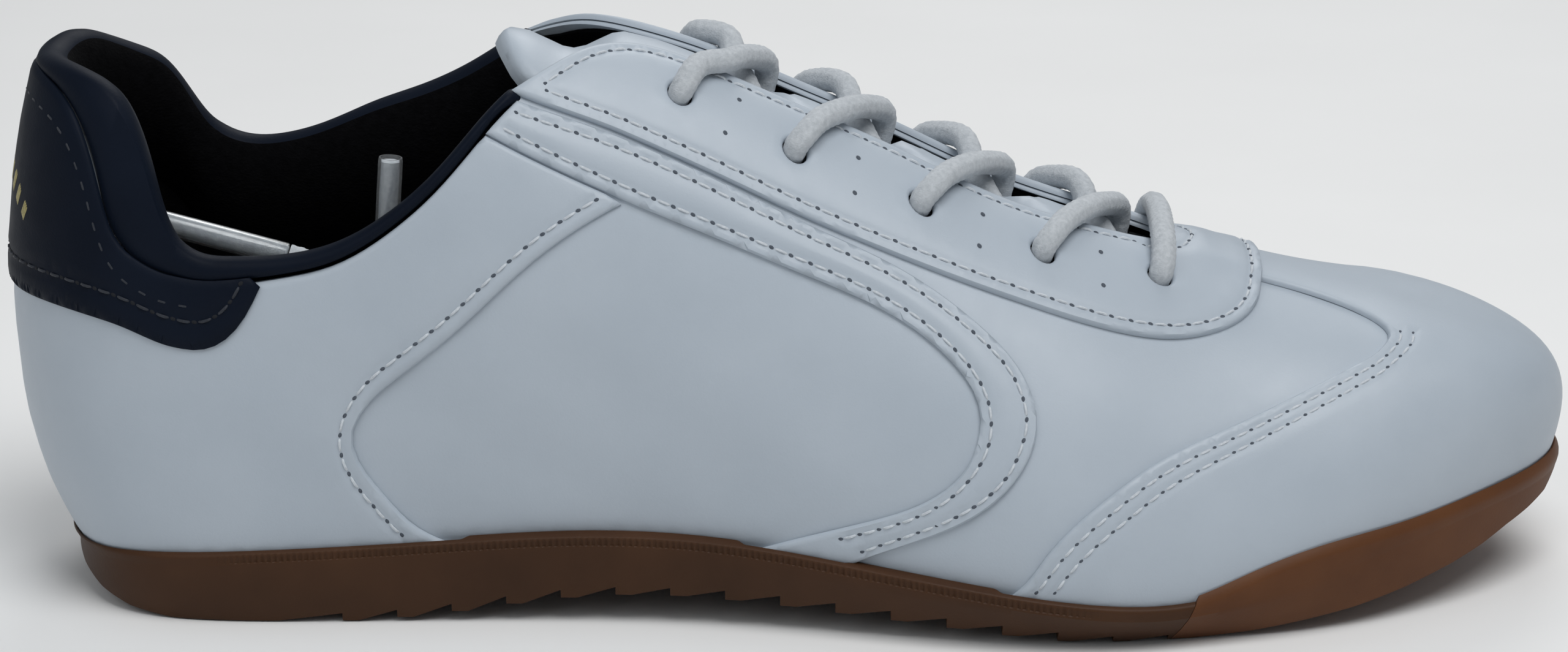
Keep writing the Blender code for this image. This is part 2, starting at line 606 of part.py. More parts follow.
COLLAR_OUTSIDE = [("s", 1.0, 1.5), ("s", 0.5, 2.5), ("u", 0.6, 1.6), ("u", 2.4, -0.6),
                  ("u", 2.6, -3.4), ("u", 0.8, -5.8), ("d", 6.0, -7.2), ("d", 15.0, -6.6),
                  ("d", COLLAR_DEPTH, -3.6)]
COLLAR_INSIDE = [("d", COLLAR_DEPTH, -2.8), ("d", 15.0, -5.8), ("d", 6.0, -6.3),
                 ("u", 0.6, -4.9), ("u", 1.6, -2.6), ("u", 0.3, 0.6), ("s", 0.5, 1.5),
                 ("s", 1.0, 0.5)]
COLLAR_CORE = [("s", 0.8, -1.8), ("s", 0.8, 0.0), ("s", 0.5, 1.0), ("u", 0.0, 0.1),
               ("u", 1.2, -2.6), ("u", 0.3, -4.4), ("d", 6.0, -5.8), ("d", 15.0, -5.3),
               ("d", COLLAR_DEPTH - 3, -2.9), ("d", COLLAR_DEPTH - 3, -2.6),
               ("d", 16.0, -2.0)]


def collar():
    """The padded collar: its leather cover and the foam inside."""
    rows = [*COLLAR[LATERAL][::-1], COLLAR_BACK, *COLLAR[MEDIAL]]
    rows = np.array(rows, float)
    along = np.concatenate([[0], np.cumsum(np.linalg.norm(np.diff(rows[:, :2], axis=0), axis=1))])
    line = spline(along, rows)(np.linspace(0, along[-1], COLLAR_STATIONS))
    cover = [collar_section(row[:2], row[2:], COLLAR_OUTSIDE + COLLAR_INSIDE) for row in line]
    swept("collar", "navy_leather", cover)
    core = [collar_section(row[:2], row[2:], COLLAR_CORE) for row in line[1:-1]]
    swept("collar_foam", "foam", core)


# ---------------------------------------------------------------- tongue
TONGUE_ROOT = 226.0
TONGUE_TOP = 96.0
TONGUE_DEPTH = table([(90, -5.6), (104, -5.9), (118, -8.9), (160, -8.9), (198, -9.0), (212, -8.9),
                      (219, -6.8), (226, -4.4)])
TONGUE_HALF_WIDTH = [(TONGUE_ROOT, 10), (213, 12), (190, 15.5), (160, 17.5), (128, 18), (110, 18),
                     (101, 14.5), (TONGUE_TOP + 1, 7.5)]


def tongue_outline(trim):
    rows = [(x + (trim if x < 120 else -trim), y - trim) for x, y in TONGUE_HALF_WIDTH]
    edge = flow(rows, EDGE_STEP * 1.5)
    nose = flow([rows[-1], (TONGUE_TOP + trim - 0.5, 0), (rows[-1][0], -rows[-1][1])], EDGE_STEP)
    return joined(edge, nose, mirrored(edge[::-1], LATERAL))


def tongue():
    """Leather face, foam and lining of the tongue, which swings on its stitched root."""
    def under(depth):
        return lambda x, y: TONGUE_DEPTH(x) + depth

    sheet("tongue", "white_leather", (under(-0.9), under(0)), tongue_outline(0))
    sheet("tongue_foam", "foam", (under(-3.3), under(-1.5)), tongue_outline(1.6))
    sheet("tongue_lining", "black_lining", (under(-4.6), under(-3.9)), tongue_outline(0))


# ---------------------------------------------------------------- laces
def crossed_half(side):
    """The lace from the middle of the front bar to the top eyelet that it ends in."""
    x, y = EYELETS[0]
    route = [(x, side * 2.0, 6.4), (x, side * (y - 8), 5.6), (x, side * (y - 3.6), 5.2)]
    for (x, y), (next_x, next_y) in zip(EYELETS, EYELETS[1:]):
        top = side == MEDIAL
        middle = (x + next_x) / 2
        route += [(x, side * (y - 0.5), 3.2), (x, side * y, -0.6), (x - 0.4, side * (y - 0.6), -4.0)]
        route += [(x - 3.5, side * (y - 4.5), -5.9), (middle + 4.4, side * 7.2, -5.6)]
        route += [(middle + 1.5, side * 2.6, 1.1 if top else -4.0), (middle, 0, 2.5 if top else -2.9)]
        route += [(middle - 1.5, -side * 2.6, 3.8 if top else -1.3), (middle - 4.4, -side * 7.2, 5.3)]
        route += [(next_x + 2.6, -side * (next_y - 4.8), 5.3), (next_x + 0.4, -side * (next_y - 1), 4.0)]
        side = -side
    x, y = EYELETS[-1]
    route += [(x, side * y, 1.2), (x - 0.4, side * (y + 0.3), -2.2), (x - 1.6, side * (y + 2.4), -5.2)]
    return route + [(x - 4, side * (y + 6), -6.3), (x - 8, side * (y + 11), -6.2),
                    (x - 11.5, side * (y + 16), -6.2)]


def through_space(route):
    return [upper(np.array(x), np.array(y), np.array(h)) for x, y, h in route]


def laces():
    lateral, medial = crossed_half(LATERAL), crossed_half(MEDIAL)
    points = through_space(lateral[::-1] + medial)
    tube("lace_crossed", "white_lace", flow(points, 4.0), TIGHT_LACE_RADIUS, 1)


# the free ends of the lace, from under the facings down into the shoe: x, y, z to the aglet
TAIL_LATERAL = [
    (115.3, -23.4, 80.2), (111.2, -26.4, 74.5), (107, -28.2, 65.8), (102.5, -28.4, 51.5),
    (98, -25.0, 37), (92.5, -17, 26), (84, -7.5, 20.6), (73, -1, 19.6), (62.5, -0.2, 19.2),
    (55, -3.0, 19.2), (51.0, -10, 19.6), (54.8, -17.4, 21.4), (61, -20.4, 26),
    (67.5, -21, 33), (71.8, -21.7, 43), (73.6, -22.0, 53), (74.3, -22.0, 61),
]
TAIL_MEDIAL = [
    (115.3, 22.1, 81.5), (111.2, 24.6, 76.0), (107, 26.0, 67.5), (102, 25.8, 52),
    (98, 23.0, 37.5), (93, 18.8, 27), (85, 15.5, 20.8), (73, 13.5, 19.8), (57, 12.2, 19.2),
    (44, 6.6, 19.2), (36.2, -3.5, 19.6), (37.5, -13.5, 22), (43, -19.4, 27.5), (50, -21.2, 33.5),
    (58, -21.7, 40.5), (64.2, -21.8, 48.5), (66.2, -21.8, 57), (63.4, -21.6, 63.8),
    (57, -21.4, 66.6),
]


def tail(side, word, route):
    """A free end of the lace and the aglet on its tip."""
    points = np.array(flow(route, 4.6))
    tube("lace_tail_" + word, "white_lace", points, LACE_RADIUS)
    heading = unit(points[-1] - points[-2])
    start = points[-1] + heading * 0.3
    turns = [2 * math.pi * i / 10 for i in range(10)]
    across = unit(np.cross(heading, (0, 1.0, 0)))
    other = np.cross(heading, across)
    rings = [(0, AGLET_RADIUS), (AGLET_LENGTH - 0.8, AGLET_RADIUS),
             (AGLET_LENGTH, AGLET_RADIUS - 0.7)]
    sections = [[start + heading * z + (across * math.cos(a) + other * math.sin(a)) * r
                 for a in turns] for z, r in rings]
    swept("aglet_" + word, "clear_plastic", sections)


# ---------------------------------------------------------------- sole
def sole_block(name, rim_height):
    """The full sole with its upstanding edge, before the tread is cut."""
    stations = np.linspace(-6, 6, 97)[:-1]
    foot, out, row = sole_line(stations)
    climb = rim_height(foot[:, 0]) / (3 * row[:, 3])
    step = 1e-3
    along = rib(stations + step, climb) - rib(stations - step, climb)
    normal = unit(np.cross(along, rib(stations, climb + step) - rib(stations, climb - step)))
    edge = rib(stations, climb)
    low = foot + out * (tread_edge(foot[:, 0]) - 0.4)[:, None]
    low[:, 2] = -3.0
    side = foot + out * SOLE_RIM[1]
    middle = foot + out * ((tread_edge(foot[:, 0]) + 3 * SOLE_RIM[1]) / 4)[:, None]
    middle[:, 2] = foot[:, 2] / 2
    corner = foot + out * SOLE_RIM[0]
    corner[:, 2] -= SEAT_STEP
    seat = foot + out * SOLE_RIM[0] / 3
    seat[:, 2] = sole_height(seat[:, 0]) + SEAT
    rings = [low, middle, side, edge + normal * SOLE_RIM[1], edge + normal * SOLE_RIM[0], corner,
             seat]
    count = len(stations)
    points = list(np.concatenate(rings))
    faces = []
    for r in range(len(rings) - 1):
        for i in range(count):
            j = (i + 1) % count
            faces.append((r * count + i, r * count + j, (r + 1) * count + j, (r + 1) * count + i))
    faces += [f[::-1] for f in fill([tuple(p[:2]) for p in low], (), (400, 400))[1]]
    inner = [tuple(p[:2]) for p in seat]
    flat, cap = fill(inner, (), PLATE_PITCH)
    first = (len(rings) - 1) * count
    extra = {i: len(points) + i - count for i in range(count, len(flat))}
    points += [bottom(np.array(x), np.array(y), SEAT) for x, y in flat[count:]]
    faces += [tuple(extra.get(i, first + i) for i in f) for f in cap]
    return solid(name, points, faces, "gum_rubber")


def prism(name, profile, half_width=80.0):
    """A cutter: a profile in x and z, run across the shoe."""
    sections = [[(x, y, z) for x, z in profile] for y in (half_width, -half_width)]
    return swept(name, "gum_rubber", sections)


def tread_profile():
    """The ground line: heel bevel, flat heel pad, then saw teeth to the ball."""
    line = table(TREAD_LINE)
    points = list(HEEL_BEVEL)
    tips = [HEEL_PAD[1]] + [66 + TREAD_PITCH * k for k in range(16)]
    ball_end = 235.0
    for tip, after in zip(tips, tips[1:]):
        base, next_base = max(0.0, float(line(tip))), max(0.0, float(line(after)))
        rise = TREAD_STEP + max(0.0, next_base - base)
        points += [(tip, base), (tip + TREAD_LAND, base), (after - 0.01, base + rise)]
    return points + [(tips[-1], 0.0), (ball_end, 0.0)]


def sole():
    """Outsole with tread and a wedge well, toe bumper, wedge, shank, board and liner."""
    outsole = sole_block("outsole", lambda x: np.full_like(x, SOLE_RIM_HEIGHT))
    tread = tread_profile()
    low = -20.0
    cut(outsole, prism("tread_cutter", [(-10, low), *tread, (tread[-1][0], low)][::-1]))
    joint, lean = BUMPER_JOINT
    ahead = [(joint - 20 * lean, -20), (joint + 60 * lean, 60), (340, 60), (340, -20)]
    cut(outsole, prism("front_cutter", ahead))
    well = plan_outline(26, 163, 6.0)
    floor = [lambda x, y: wedge_floor(x) - sole_height(x), 12.0]
    cut(outsole, sheet("well_cutter", "gum_rubber", floor, well, pitch=PLATE_PITCH, on=bottom))

    bumper = sole_block("toe_bumper", bumper_rim)
    spring = [(200, 0), *TOE_SPRING]
    cut(bumper, prism("spring_cutter", [(200, -30), *spring, (310, -30)][::-1]))
    behind = [(-20, -20), (-20, 60), (joint + 60 * lean + GAP, 60), (joint - 20 * lean + GAP, -20)]
    cut(bumper, prism("rear_cutter", behind))

    wedge_layer = [lambda x, y: wedge_floor(x) + GAP + 0.2 - sole_height(x), SEAT]
    wedge = sheet("heel_wedge", "foam", wedge_layer, plan_outline(26.5, 162.5, 6.5),
                  pitch=PLATE_PITCH, on=bottom)
    slot = strip_outline(70, 158, 6.4)
    cut(wedge, sheet("slot_cutter", "foam", (SEAT - 1.5, 5), slot, pitch=PLATE_PITCH, on=bottom))
    sheet("shank", "spring_steel", (SEAT - 1.2, SEAT - 0.2), strip_outline(70.4, 157.6, 6.0),
          pitch=PLATE_PITCH, on=bottom)
    for name, slot, layer, inset in (("insole_board", "fibreboard", INSOLE_BOARD, 0.2),
                                     ("sock_liner", "black_lining", SOCK_LINER, 4.6)):
        sheet(name, slot, layer, plan_outline(0, 300, inset), pitch=PLATE_PITCH, on=bottom)


def wedge_floor(x):
    return table(TREAD_LINE)(np.clip(x, 51, 222)) + 3.6


def plan_outline(x_min, x_max, inset):
    """The sole line seen from above, drawn in by an inset and cut off at two places."""
    foot, out, _ = sole_line(np.linspace(-6, 6, 81)[:-1])
    ring = [tuple(p[:2]) for p in foot - out * inset]
    kept = []
    for here, there in zip(ring, ring[1:] + ring[:1]):
        if x_min < here[0] < x_max:
            kept.append(here)
        for limit in (x_min, x_max):
            if (here[0] - limit) * (there[0] - limit) < 0:
                part = (limit - here[0]) / (there[0] - here[0])
                kept.append((limit, here[1] + part * (there[1] - here[1])))
    return kept


def strip_outline(x_from, x_to, half_width):
    """A strip along the middle of the foot, with round ends."""
    turns = np.linspace(-math.pi / 2, math.pi / 2, 7)
    nose = [(x_to - half_width * (1 - math.cos(a)), half_width * math.sin(a)) for a in turns]
    tail_end = [(x_from + half_width * (1 - math.cos(a)), -half_width * math.sin(a)) for a in turns]
    return joined(nose, flow([nose[-1], tail_end[0]], PLATE_PITCH[0]), tail_end,
                  flow([tail_end[-1], nose[0]], PLATE_PITCH[0]))


base_leather()
overlays()
top_overlays()
stiffeners()
linings()
collar()
tongue()
laces()
tail(LATERAL, "lateral", TAIL_LATERAL)
tail(MEDIAL, "medial", TAIL_MEDIAL)
sole()
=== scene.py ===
"""Court shoe, right foot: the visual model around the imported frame.

Working lengths are millimetres in the maker's frame: X from the heel to the toe, Y to the
inner (medial) side of the foot, Z up from the ground. place() turns them into metres in
the frame of the CAD. The upper is drawn flat in a pattern plane and folded onto the last,
with the same ribs as the CAD, but on a much finer grid.
"""
import json
import math

import bmesh
import bpy
import numpy as np
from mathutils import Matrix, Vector
from mathutils.geometry import delaunay_2d_cdt


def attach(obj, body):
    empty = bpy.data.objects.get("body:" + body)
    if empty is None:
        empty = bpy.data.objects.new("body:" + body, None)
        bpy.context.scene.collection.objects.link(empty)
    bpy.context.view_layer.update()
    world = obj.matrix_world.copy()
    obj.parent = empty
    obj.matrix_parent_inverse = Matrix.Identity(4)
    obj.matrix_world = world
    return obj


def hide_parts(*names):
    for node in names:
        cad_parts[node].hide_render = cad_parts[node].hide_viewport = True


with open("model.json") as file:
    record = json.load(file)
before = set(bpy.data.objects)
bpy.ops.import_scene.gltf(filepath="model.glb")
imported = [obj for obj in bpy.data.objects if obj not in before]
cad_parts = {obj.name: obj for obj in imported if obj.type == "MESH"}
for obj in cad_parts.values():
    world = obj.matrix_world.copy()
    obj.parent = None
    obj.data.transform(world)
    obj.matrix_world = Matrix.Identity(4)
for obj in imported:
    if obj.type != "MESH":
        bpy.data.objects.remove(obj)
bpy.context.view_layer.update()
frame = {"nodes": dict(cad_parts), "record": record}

METRES = 0.001
ORIGIN = (149.3, -0.8, 0.0)          # under the middle of the shoe
RIM = 80.0                           # pattern distance from the ridge to the sole line
HEEL_POLE, TOE_POLE = 40.0, 256.0    # ends of the ridge line, centres of the two fans
LATERAL, MEDIAL = -1, 1

TREAD_PITCH = 10.1
TREAD_STEP = 1.6
TREAD_LAND = 3.0
HEEL_PAD = (34.0, 51.0)

# the sole line and its ribs: station, x, y, then the rib's bulge, rise, reach and drop.
# Stations run from the toe tip (0) by the toe's side (1) and the heel's side (5) to 6.
SIDE_RIBS = {
    LATERAL: [
        (0.5, 283.2, -12.4, 6, 22, 36, 0), (1.0, 256.0, -33.5, 5, 23, 30, 0),
        (1.5, 229.0, -43.5, 5, 23, 28, 0), (2.0, 202.0, -48.5, 6, 24, 31, 0),
        (2.5, 175.0, -45.0, 6, 28, 30, 0), (3.0, 148.0, -38.0, 7, 32, 30, 0),
        (3.5, 121.0, -33.5, 8, 36, 33, 1), (4.0, 94.0, -32.5, 8, 38, 36, 2),
        (4.5, 66.0, -33.0, 5, 33, 32, 16), (5.0, 38.0, -32.0, 6, 33, 30, 22),
        (5.5, 21.0, -22.0, 15, 34, 30, 20),
    ],
    MEDIAL: [
        (0.5, 285.2, 25.4, 6, 22, 36, 0), (1.0, 257.0, 40.0, 5, 23, 32, 0),
        (1.5, 229.0, 46.0, 5, 23, 30, 0), (2.0, 202.0, 46.5, 6, 24, 31, 0),
        (2.5, 175.0, 41.0, 6, 28, 30, 0), (3.0, 148.0, 33.5, 8, 34, 30, 0),
        (3.5, 121.0, 28.5, 10, 40, 33, 1), (4.0, 94.0, 28.5, 10, 40, 36, 2),
        (4.5, 66.0, 31.0, 5, 33, 32, 16), (5.0, 38.0, 31.5, 6, 33, 30, 22),
        (5.5, 21.0, 22.0, 15, 34, 30, 20),
    ],
}
TOE_TIP_RIB = (0.0, 293.4, 8.0, 6, 21, 38, 0.5)
HEEL_BACK_RIB = (6.0, 15.0, 0.0, 24, 31, 30, 20)

# ridge over the instep and toe: x, y, z. Behind the throat it only steers the ribs.
RIDGE_LINE = [
    (40, 0, 150), (80, 0, 122), (99, 0, 110), (117, 0, 104.4), (134, 0, 99.2),
    (151, 0.2, 91.8), (167, 0.5, 84.8), (185, 1, 76), (206, 2, 68.1), (226, 3, 61.2),
    (246, 3.8, 55.6), (256, 4.2, 53.3),
]
# height of the sole line above the ground
SOLE_LINE = [
    (15, 9.0), (26, 10.6), (40, 11.6), (75, 13.4), (110, 15.5), (135, 15.1), (160, 12.6),
    (185, 9.6), (205, 7.2), (216, 6.6), (229, 8.0), (246, 12.0), (262, 15.6),
    (280, 18.4), (296, 19.4),
]
# lowest line of the tread, and how far its edge stands out from the sole line
TREAD_LINE = [(51, 0), (66, 0), (85, 1.7), (100, 4), (118, 5.6), (143, 5), (163, 3.8),
              (184, 2.0), (202, 0), (222, 0)]
TREAD_EDGE = [(15, 0.5), (60, 0.5), (120, 0), (160, -2), (202, -4), (240, -1.5),
              (262, 0), (296, 0)]
HEEL_BEVEL = [(-10, 30), (11, 10), (13, 7.6), (16, 5.2), (20, 3), (26, 1.1), HEEL_PAD[:1] + (0,)]
TOE_SPRING = [(222, 0), (233, 0.9), (243, 2.4), (252.5, 3.9), (262, 5.9), (272, 8.5),
              (278, 10.5), (283, 12.6), (288, 14.2), (292, 15.8), (295.5, 19.5), (301, 31)]
BUMPER_RIM = [(216, 2.2), (223, 3.4), (232, 5.2), (246, 5.8), (260, 4.4), (274, 3.7),
              (300, 3.6)]
BUMPER_JOINT = (218.0, 0.45)         # where it meets the outsole on the ground, and its lean


# ---------------------------------------------------------------- curves
def spline(knots, values, period=None):
    """A cubic spline through values at the knots: natural, or closed over a period."""
    knots, values = np.asarray(knots, float), np.asarray(values, float)
    count = len(knots)
    ends = np.append(knots, knots[0] + period) if period else knots
    gaps = np.diff(ends)
    system, right = np.eye(count), np.zeros_like(values)
    for i in range(0 if period else 1, count if period else count - 1):
        before, after = (i - 1) % count, (i + 1) % count
        back, ahead = gaps[i - 1], gaps[i]
        system[i, i] = 2 * (back + ahead)
        system[i, before] += back
        system[i, after] += ahead
        slope_ahead = (values[after] - values[i]) / ahead
        right[i] = 6 * (slope_ahead - (values[i] - values[before]) / back)
    bend = np.linalg.solve(system, right)

    def at(place_on_curve):
        u = np.asarray(place_on_curve, float)
        u = (u - knots[0]) % period + knots[0] if period else np.clip(u, knots[0], knots[-1])
        i = np.clip(np.searchsorted(knots, u, side="right") - 1, 0, len(gaps) - 1)
        j = (i + 1) % count
        width = gaps[i]
        a, b = (ends[i + 1] - u) / width, (u - ends[i]) / width
        if values.ndim > 1:
            a, b, width = a[..., None], b[..., None], width[..., None]
        bow = ((a ** 3 - a) * bend[i] + (b ** 3 - b) * bend[j]) * width ** 2 / 6
        return a * values[i] + b * values[j] + bow

    return at


def table(rows):
    """The spline through rows whose first number is the place."""
    rows = np.asarray(rows, float)
    return spline(rows[:, 0], rows[:, 1] if rows.shape[1] == 2 else rows[:, 1:])


def walked(line):
    """The distance along a line of points, at each of them."""
    return np.concatenate([[0], np.cumsum(np.linalg.norm(np.diff(line, axis=0), axis=1))])


def flow(points, step):
    """A smooth open line through the points, with a point about every step."""
    points = np.asarray(points, float)
    along = walked(points)
    count = max(2, round(along[-1] / step) + 1)
    return [tuple(p) for p in spline(along, points)(np.linspace(0, along[-1], count))]


def mirrored(points, side):
    """Points drawn for the medial side, on the given side."""
    return [(x, abs(y) * side) for x, y in points]


# ---------------------------------------------------------------- the last
rib_rows = [(-row[0],) + row[1:] for row in SIDE_RIBS[LATERAL]]
rib_rows += [TOE_TIP_RIB, *SIDE_RIBS[MEDIAL], HEEL_BACK_RIB]
rib_rows = np.array(sorted(rib_rows), float)
sole_ribs = spline(rib_rows[:, 0], rib_rows[:, 1:], period=12.0)
ridge_line = table(RIDGE_LINE)
sole_height = table(SOLE_LINE)
tread_edge = table(TREAD_EDGE)
bumper_rim = table(BUMPER_RIM)


def unit(vectors):
    return vectors / np.linalg.norm(vectors, axis=-1, keepdims=True)


def sole_line(station):
    """Points of the sole line, and the level directions out of it."""
    row = sole_ribs(station)
    foot = np.stack([row[..., 0], row[..., 1], sole_height(row[..., 0])], -1)
    heading = unit(sole_ribs(station + 0.01)[..., :2] - sole_ribs(station - 0.01)[..., :2])
    level = np.zeros_like(heading[..., 0])
    return foot, np.stack([heading[..., 1], -heading[..., 0], level], -1), row


def rib(station, climb):
    """A point of the last: on the rib at a station, climb 0 at the sole to 1 at the ridge."""
    station, climb = np.broadcast_arrays(np.asarray(station, float), np.asarray(climb, float))
    foot, out, row = sole_line(station)
    bulge, rise, reach, drop = (row[..., i, None] for i in (2, 3, 4, 5))
    around, side = np.abs(station), np.where(station < 0, -1.0, 1.0)
    x = np.clip(TOE_POLE - (around - 1) / 4 * (TOE_POLE - HEEL_POLE), HEEL_POLE, TOE_POLE)
    crest = np.concatenate([x[..., None], ridge_line(x)], -1)
    ahead, behind = np.clip(x + 0.5, HEEL_POLE, TOE_POLE), np.clip(x - 0.5, HEEL_POLE, TOE_POLE)
    run = (ahead - behind)[..., None]
    tangent = unit(np.concatenate([run, ridge_line(ahead) - ridge_line(behind)], -1))
    turn = np.where(around < 1, around, np.where(around > 5, around - 4, 1.0)) * math.pi / 2
    ahead_part, side_part = np.cos(turn)[..., None], (np.sin(turn) * side)[..., None]
    across = np.array([0, 1.0, 0]) * side_part
    heading = np.where((around > 5)[..., None], np.array([1.0, 0, 0]), tangent) * ahead_part
    up = np.array([0, 0, 1.0])
    low_handle = foot + out * bulge + up * rise
    high_handle = crest + (heading + across) * reach - up * drop
    t = climb[..., None]
    s = 1 - t
    return (s ** 3 * foot + 3 * s ** 2 * t * low_handle + 3 * s * t ** 2 * high_handle
            + t ** 3 * crest)


def last(x, y):
    """The point of the last under a point of the pattern plane."""
    side = np.where(y < 0, -1.0, 1.0)
    toe, heel = x > TOE_POLE, x < HEEL_POLE
    past = np.where(toe, x - TOE_POLE, np.where(heel, HEEL_POLE - x, 0.0))
    angle = np.arctan2(np.abs(y), np.maximum(past, 1e-9)) / (math.pi / 2)
    along = 1 + 4 * (TOE_POLE - x) / (TOE_POLE - HEEL_POLE)
    station = np.where(toe, angle, np.where(heel, 6 - angle, along))
    return rib(side * station, 1 - np.hypot(past, y) / RIM)


def upper(x, y, height):
    """A point at a height above the last, along its normal."""
    x, y = np.asarray(x, float), np.asarray(y, float)
    step = 0.4
    along = last(x + step, y) - last(x - step, y)
    across = last(x, y + step) - last(x, y - step)
    return last(x, y) + unit(np.cross(along, across)) * np.asarray(height, float)[..., None]


# ---------------------------------------------------------------- meshes
SHARP, SOLE_SHARP = 50.0, 32.0         # degrees between faces from which an edge is sharp


def smooth(value):
    """0 to 1 with soft ends, for a value that climbs past 0 and 1."""
    t = np.clip(value, 0.0, 1.0)
    return t * t * (3 - 2 * t)


def place(points):
    return (np.asarray(points, float) - ORIGIN) * METRES


def outward(mesh):
    """Turns every face of closed shapes to face out."""
    shape = bmesh.new()
    shape.from_mesh(mesh)
    bmesh.ops.recalc_face_normals(shape, faces=shape.faces)
    shape.to_mesh(mesh)
    shape.free()


def mesh_of(name, points, faces):
    """A mesh in the frame of the CAD, its faces facing out."""
    mesh = bpy.data.meshes.new(name)
    mesh.from_pydata([tuple(p) for p in place(points)], [],
                     [tuple(int(i) for i in face) for face in faces])
    outward(mesh)
    return mesh


def linked(name, data):
    """A new object in the scene."""
    obj = bpy.data.objects.new(name, data)
    bpy.context.scene.collection.objects.link(obj)
    return obj


def piece(name, points, faces, materials, slot, replaces=(), body="shoe", kinds=None):
    """A mesh object in the frame of the CAD, riding on a body."""
    mesh = mesh_of(name, points, faces)
    for made in materials:
        mesh.materials.append(made)
    if kinds is not None:
        mesh.polygons.foreach_set("material_index", np.asarray(kinds, np.int32))
    mesh.shade_smooth()
    mesh.set_sharp_from_angle(angle=math.radians(SHARP))
    obj = linked(name, mesh)
    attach(obj, body)
    if replaces:
        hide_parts(*replaces)
    return obj


def inside(points, loop):
    """Which points lie inside a closed loop."""
    x, y = points[:, 0], points[:, 1]
    hit = np.zeros(len(points), bool)
    for (ax, ay), (bx, by) in zip(loop, np.roll(loop, -1, axis=0)):
        if ay != by:
            hit ^= ((ay > y) != (by > y)) & (x < ax + (y - ay) / (by - ay) * (bx - ax))
    return hit


def distance(points, line, closed=False):
    """How far each point is from a line of points, in two or three dimensions."""
    line = np.asarray(line, float)
    ends = np.roll(line, -1, axis=0) if closed else line[1:]
    best = np.full(len(points), 1e9)
    for a, b in zip(line if closed else line[:-1], ends):
        run = b - a
        t = np.clip((points - a) @ run / max(run @ run, 1e-12), 0, 1)
        best = np.minimum(best, ((points - a - t[:, None] * run) ** 2).sum(1))
    return np.sqrt(best)


def inset(loop, depth):
    """A closed loop drawn in by a depth; the loop runs anticlockwise."""
    loop = np.asarray(loop, float)
    heading = unit(np.roll(loop, -1, axis=0) - np.roll(loop, 1, axis=0))
    return loop + np.stack([-heading[:, 1], heading[:, 0]], -1) * depth


def resampled(loop, step):
    """A closed loop with its points about a step apart, corners kept."""
    out = []
    for a, b in zip(np.asarray(loop, float), np.roll(loop, -1, axis=0)):
        count = max(1, round(float(np.linalg.norm(b - a)) / step))
        out += [a + (b - a) * k / count for k in range(count)]
    return np.array(out)


EDGE_RINGS = (0.28, 0.8)               # depths of the rings of points along an edge
GRID_CLEAR = 0.45                      # room round rings and rails, in pitches of the grid
GROOVE_RAILS = (0.0, -0.75, 0.75, -1.6, 1.6)
RAIL_STEP, RAIL_GAP, RAIL_CLEAR = 1.5, 0.6, 0.12
GROOVE_DEPTH, GROOVE_WIDTH = 0.34, 0.75
SWELL, SWELL_PLACE, SWELL_WIDTH = 0.3, 2.2, 1.1      # of the leather beside a groove


def within(points, loops):
    """Which points lie inside the first loop and outside the others."""
    keep = inside(points, loops[0])
    for loop in loops[1:]:
        keep &= ~inside(points, loop)
    return keep


def clearance(points, loops):
    """How far each point is from the nearest of some closed loops."""
    return np.min([distance(points, loop, closed=True) for loop in loops], axis=0)


def rails(grooves, loops):
    """Points along each stitch groove and beside it, clear of the edges."""
    found = {}
    for aside in GROOVE_RAILS:
        for line in grooves:
            for x, y in beside(flow(line, RAIL_STEP), aside):
                found.setdefault((round(x / RAIL_GAP), round(y / RAIL_GAP)), (x, y))
    spots = np.array(list(found.values())).reshape(-1, 2)
    clear = clearance(spots, loops) > EDGE_RINGS[-1] + RAIL_CLEAR
    return spots[within(spots, loops) & clear]


def ring_points(loops):
    """Points of the loops and of the rings beside them, with the edges of the loops."""
    points, edges, first = [], [], 0
    for k, loop in enumerate(loops):
        count = len(loop)
        points.append(loop)
        points += [inset(loop, -depth if k else depth) for depth in EDGE_RINGS]
        edges += [(first + i, first + (i + 1) % count) for i in range(count)]
        first += count * (1 + len(EDGE_RINGS))
    return np.concatenate(points), edges


def staggered(points, pitch):
    """A grid over some points, with every other column half a pitch on."""
    low, high = points.min(0) // pitch, points.max(0) // pitch + 1
    i, j = np.meshgrid(np.arange(low[0], high[0] + 1), np.arange(low[1], high[1] + 1))
    return np.stack([i.ravel() * pitch, (j.ravel() + 0.5 * (i.ravel() % 2)) * pitch], -1)


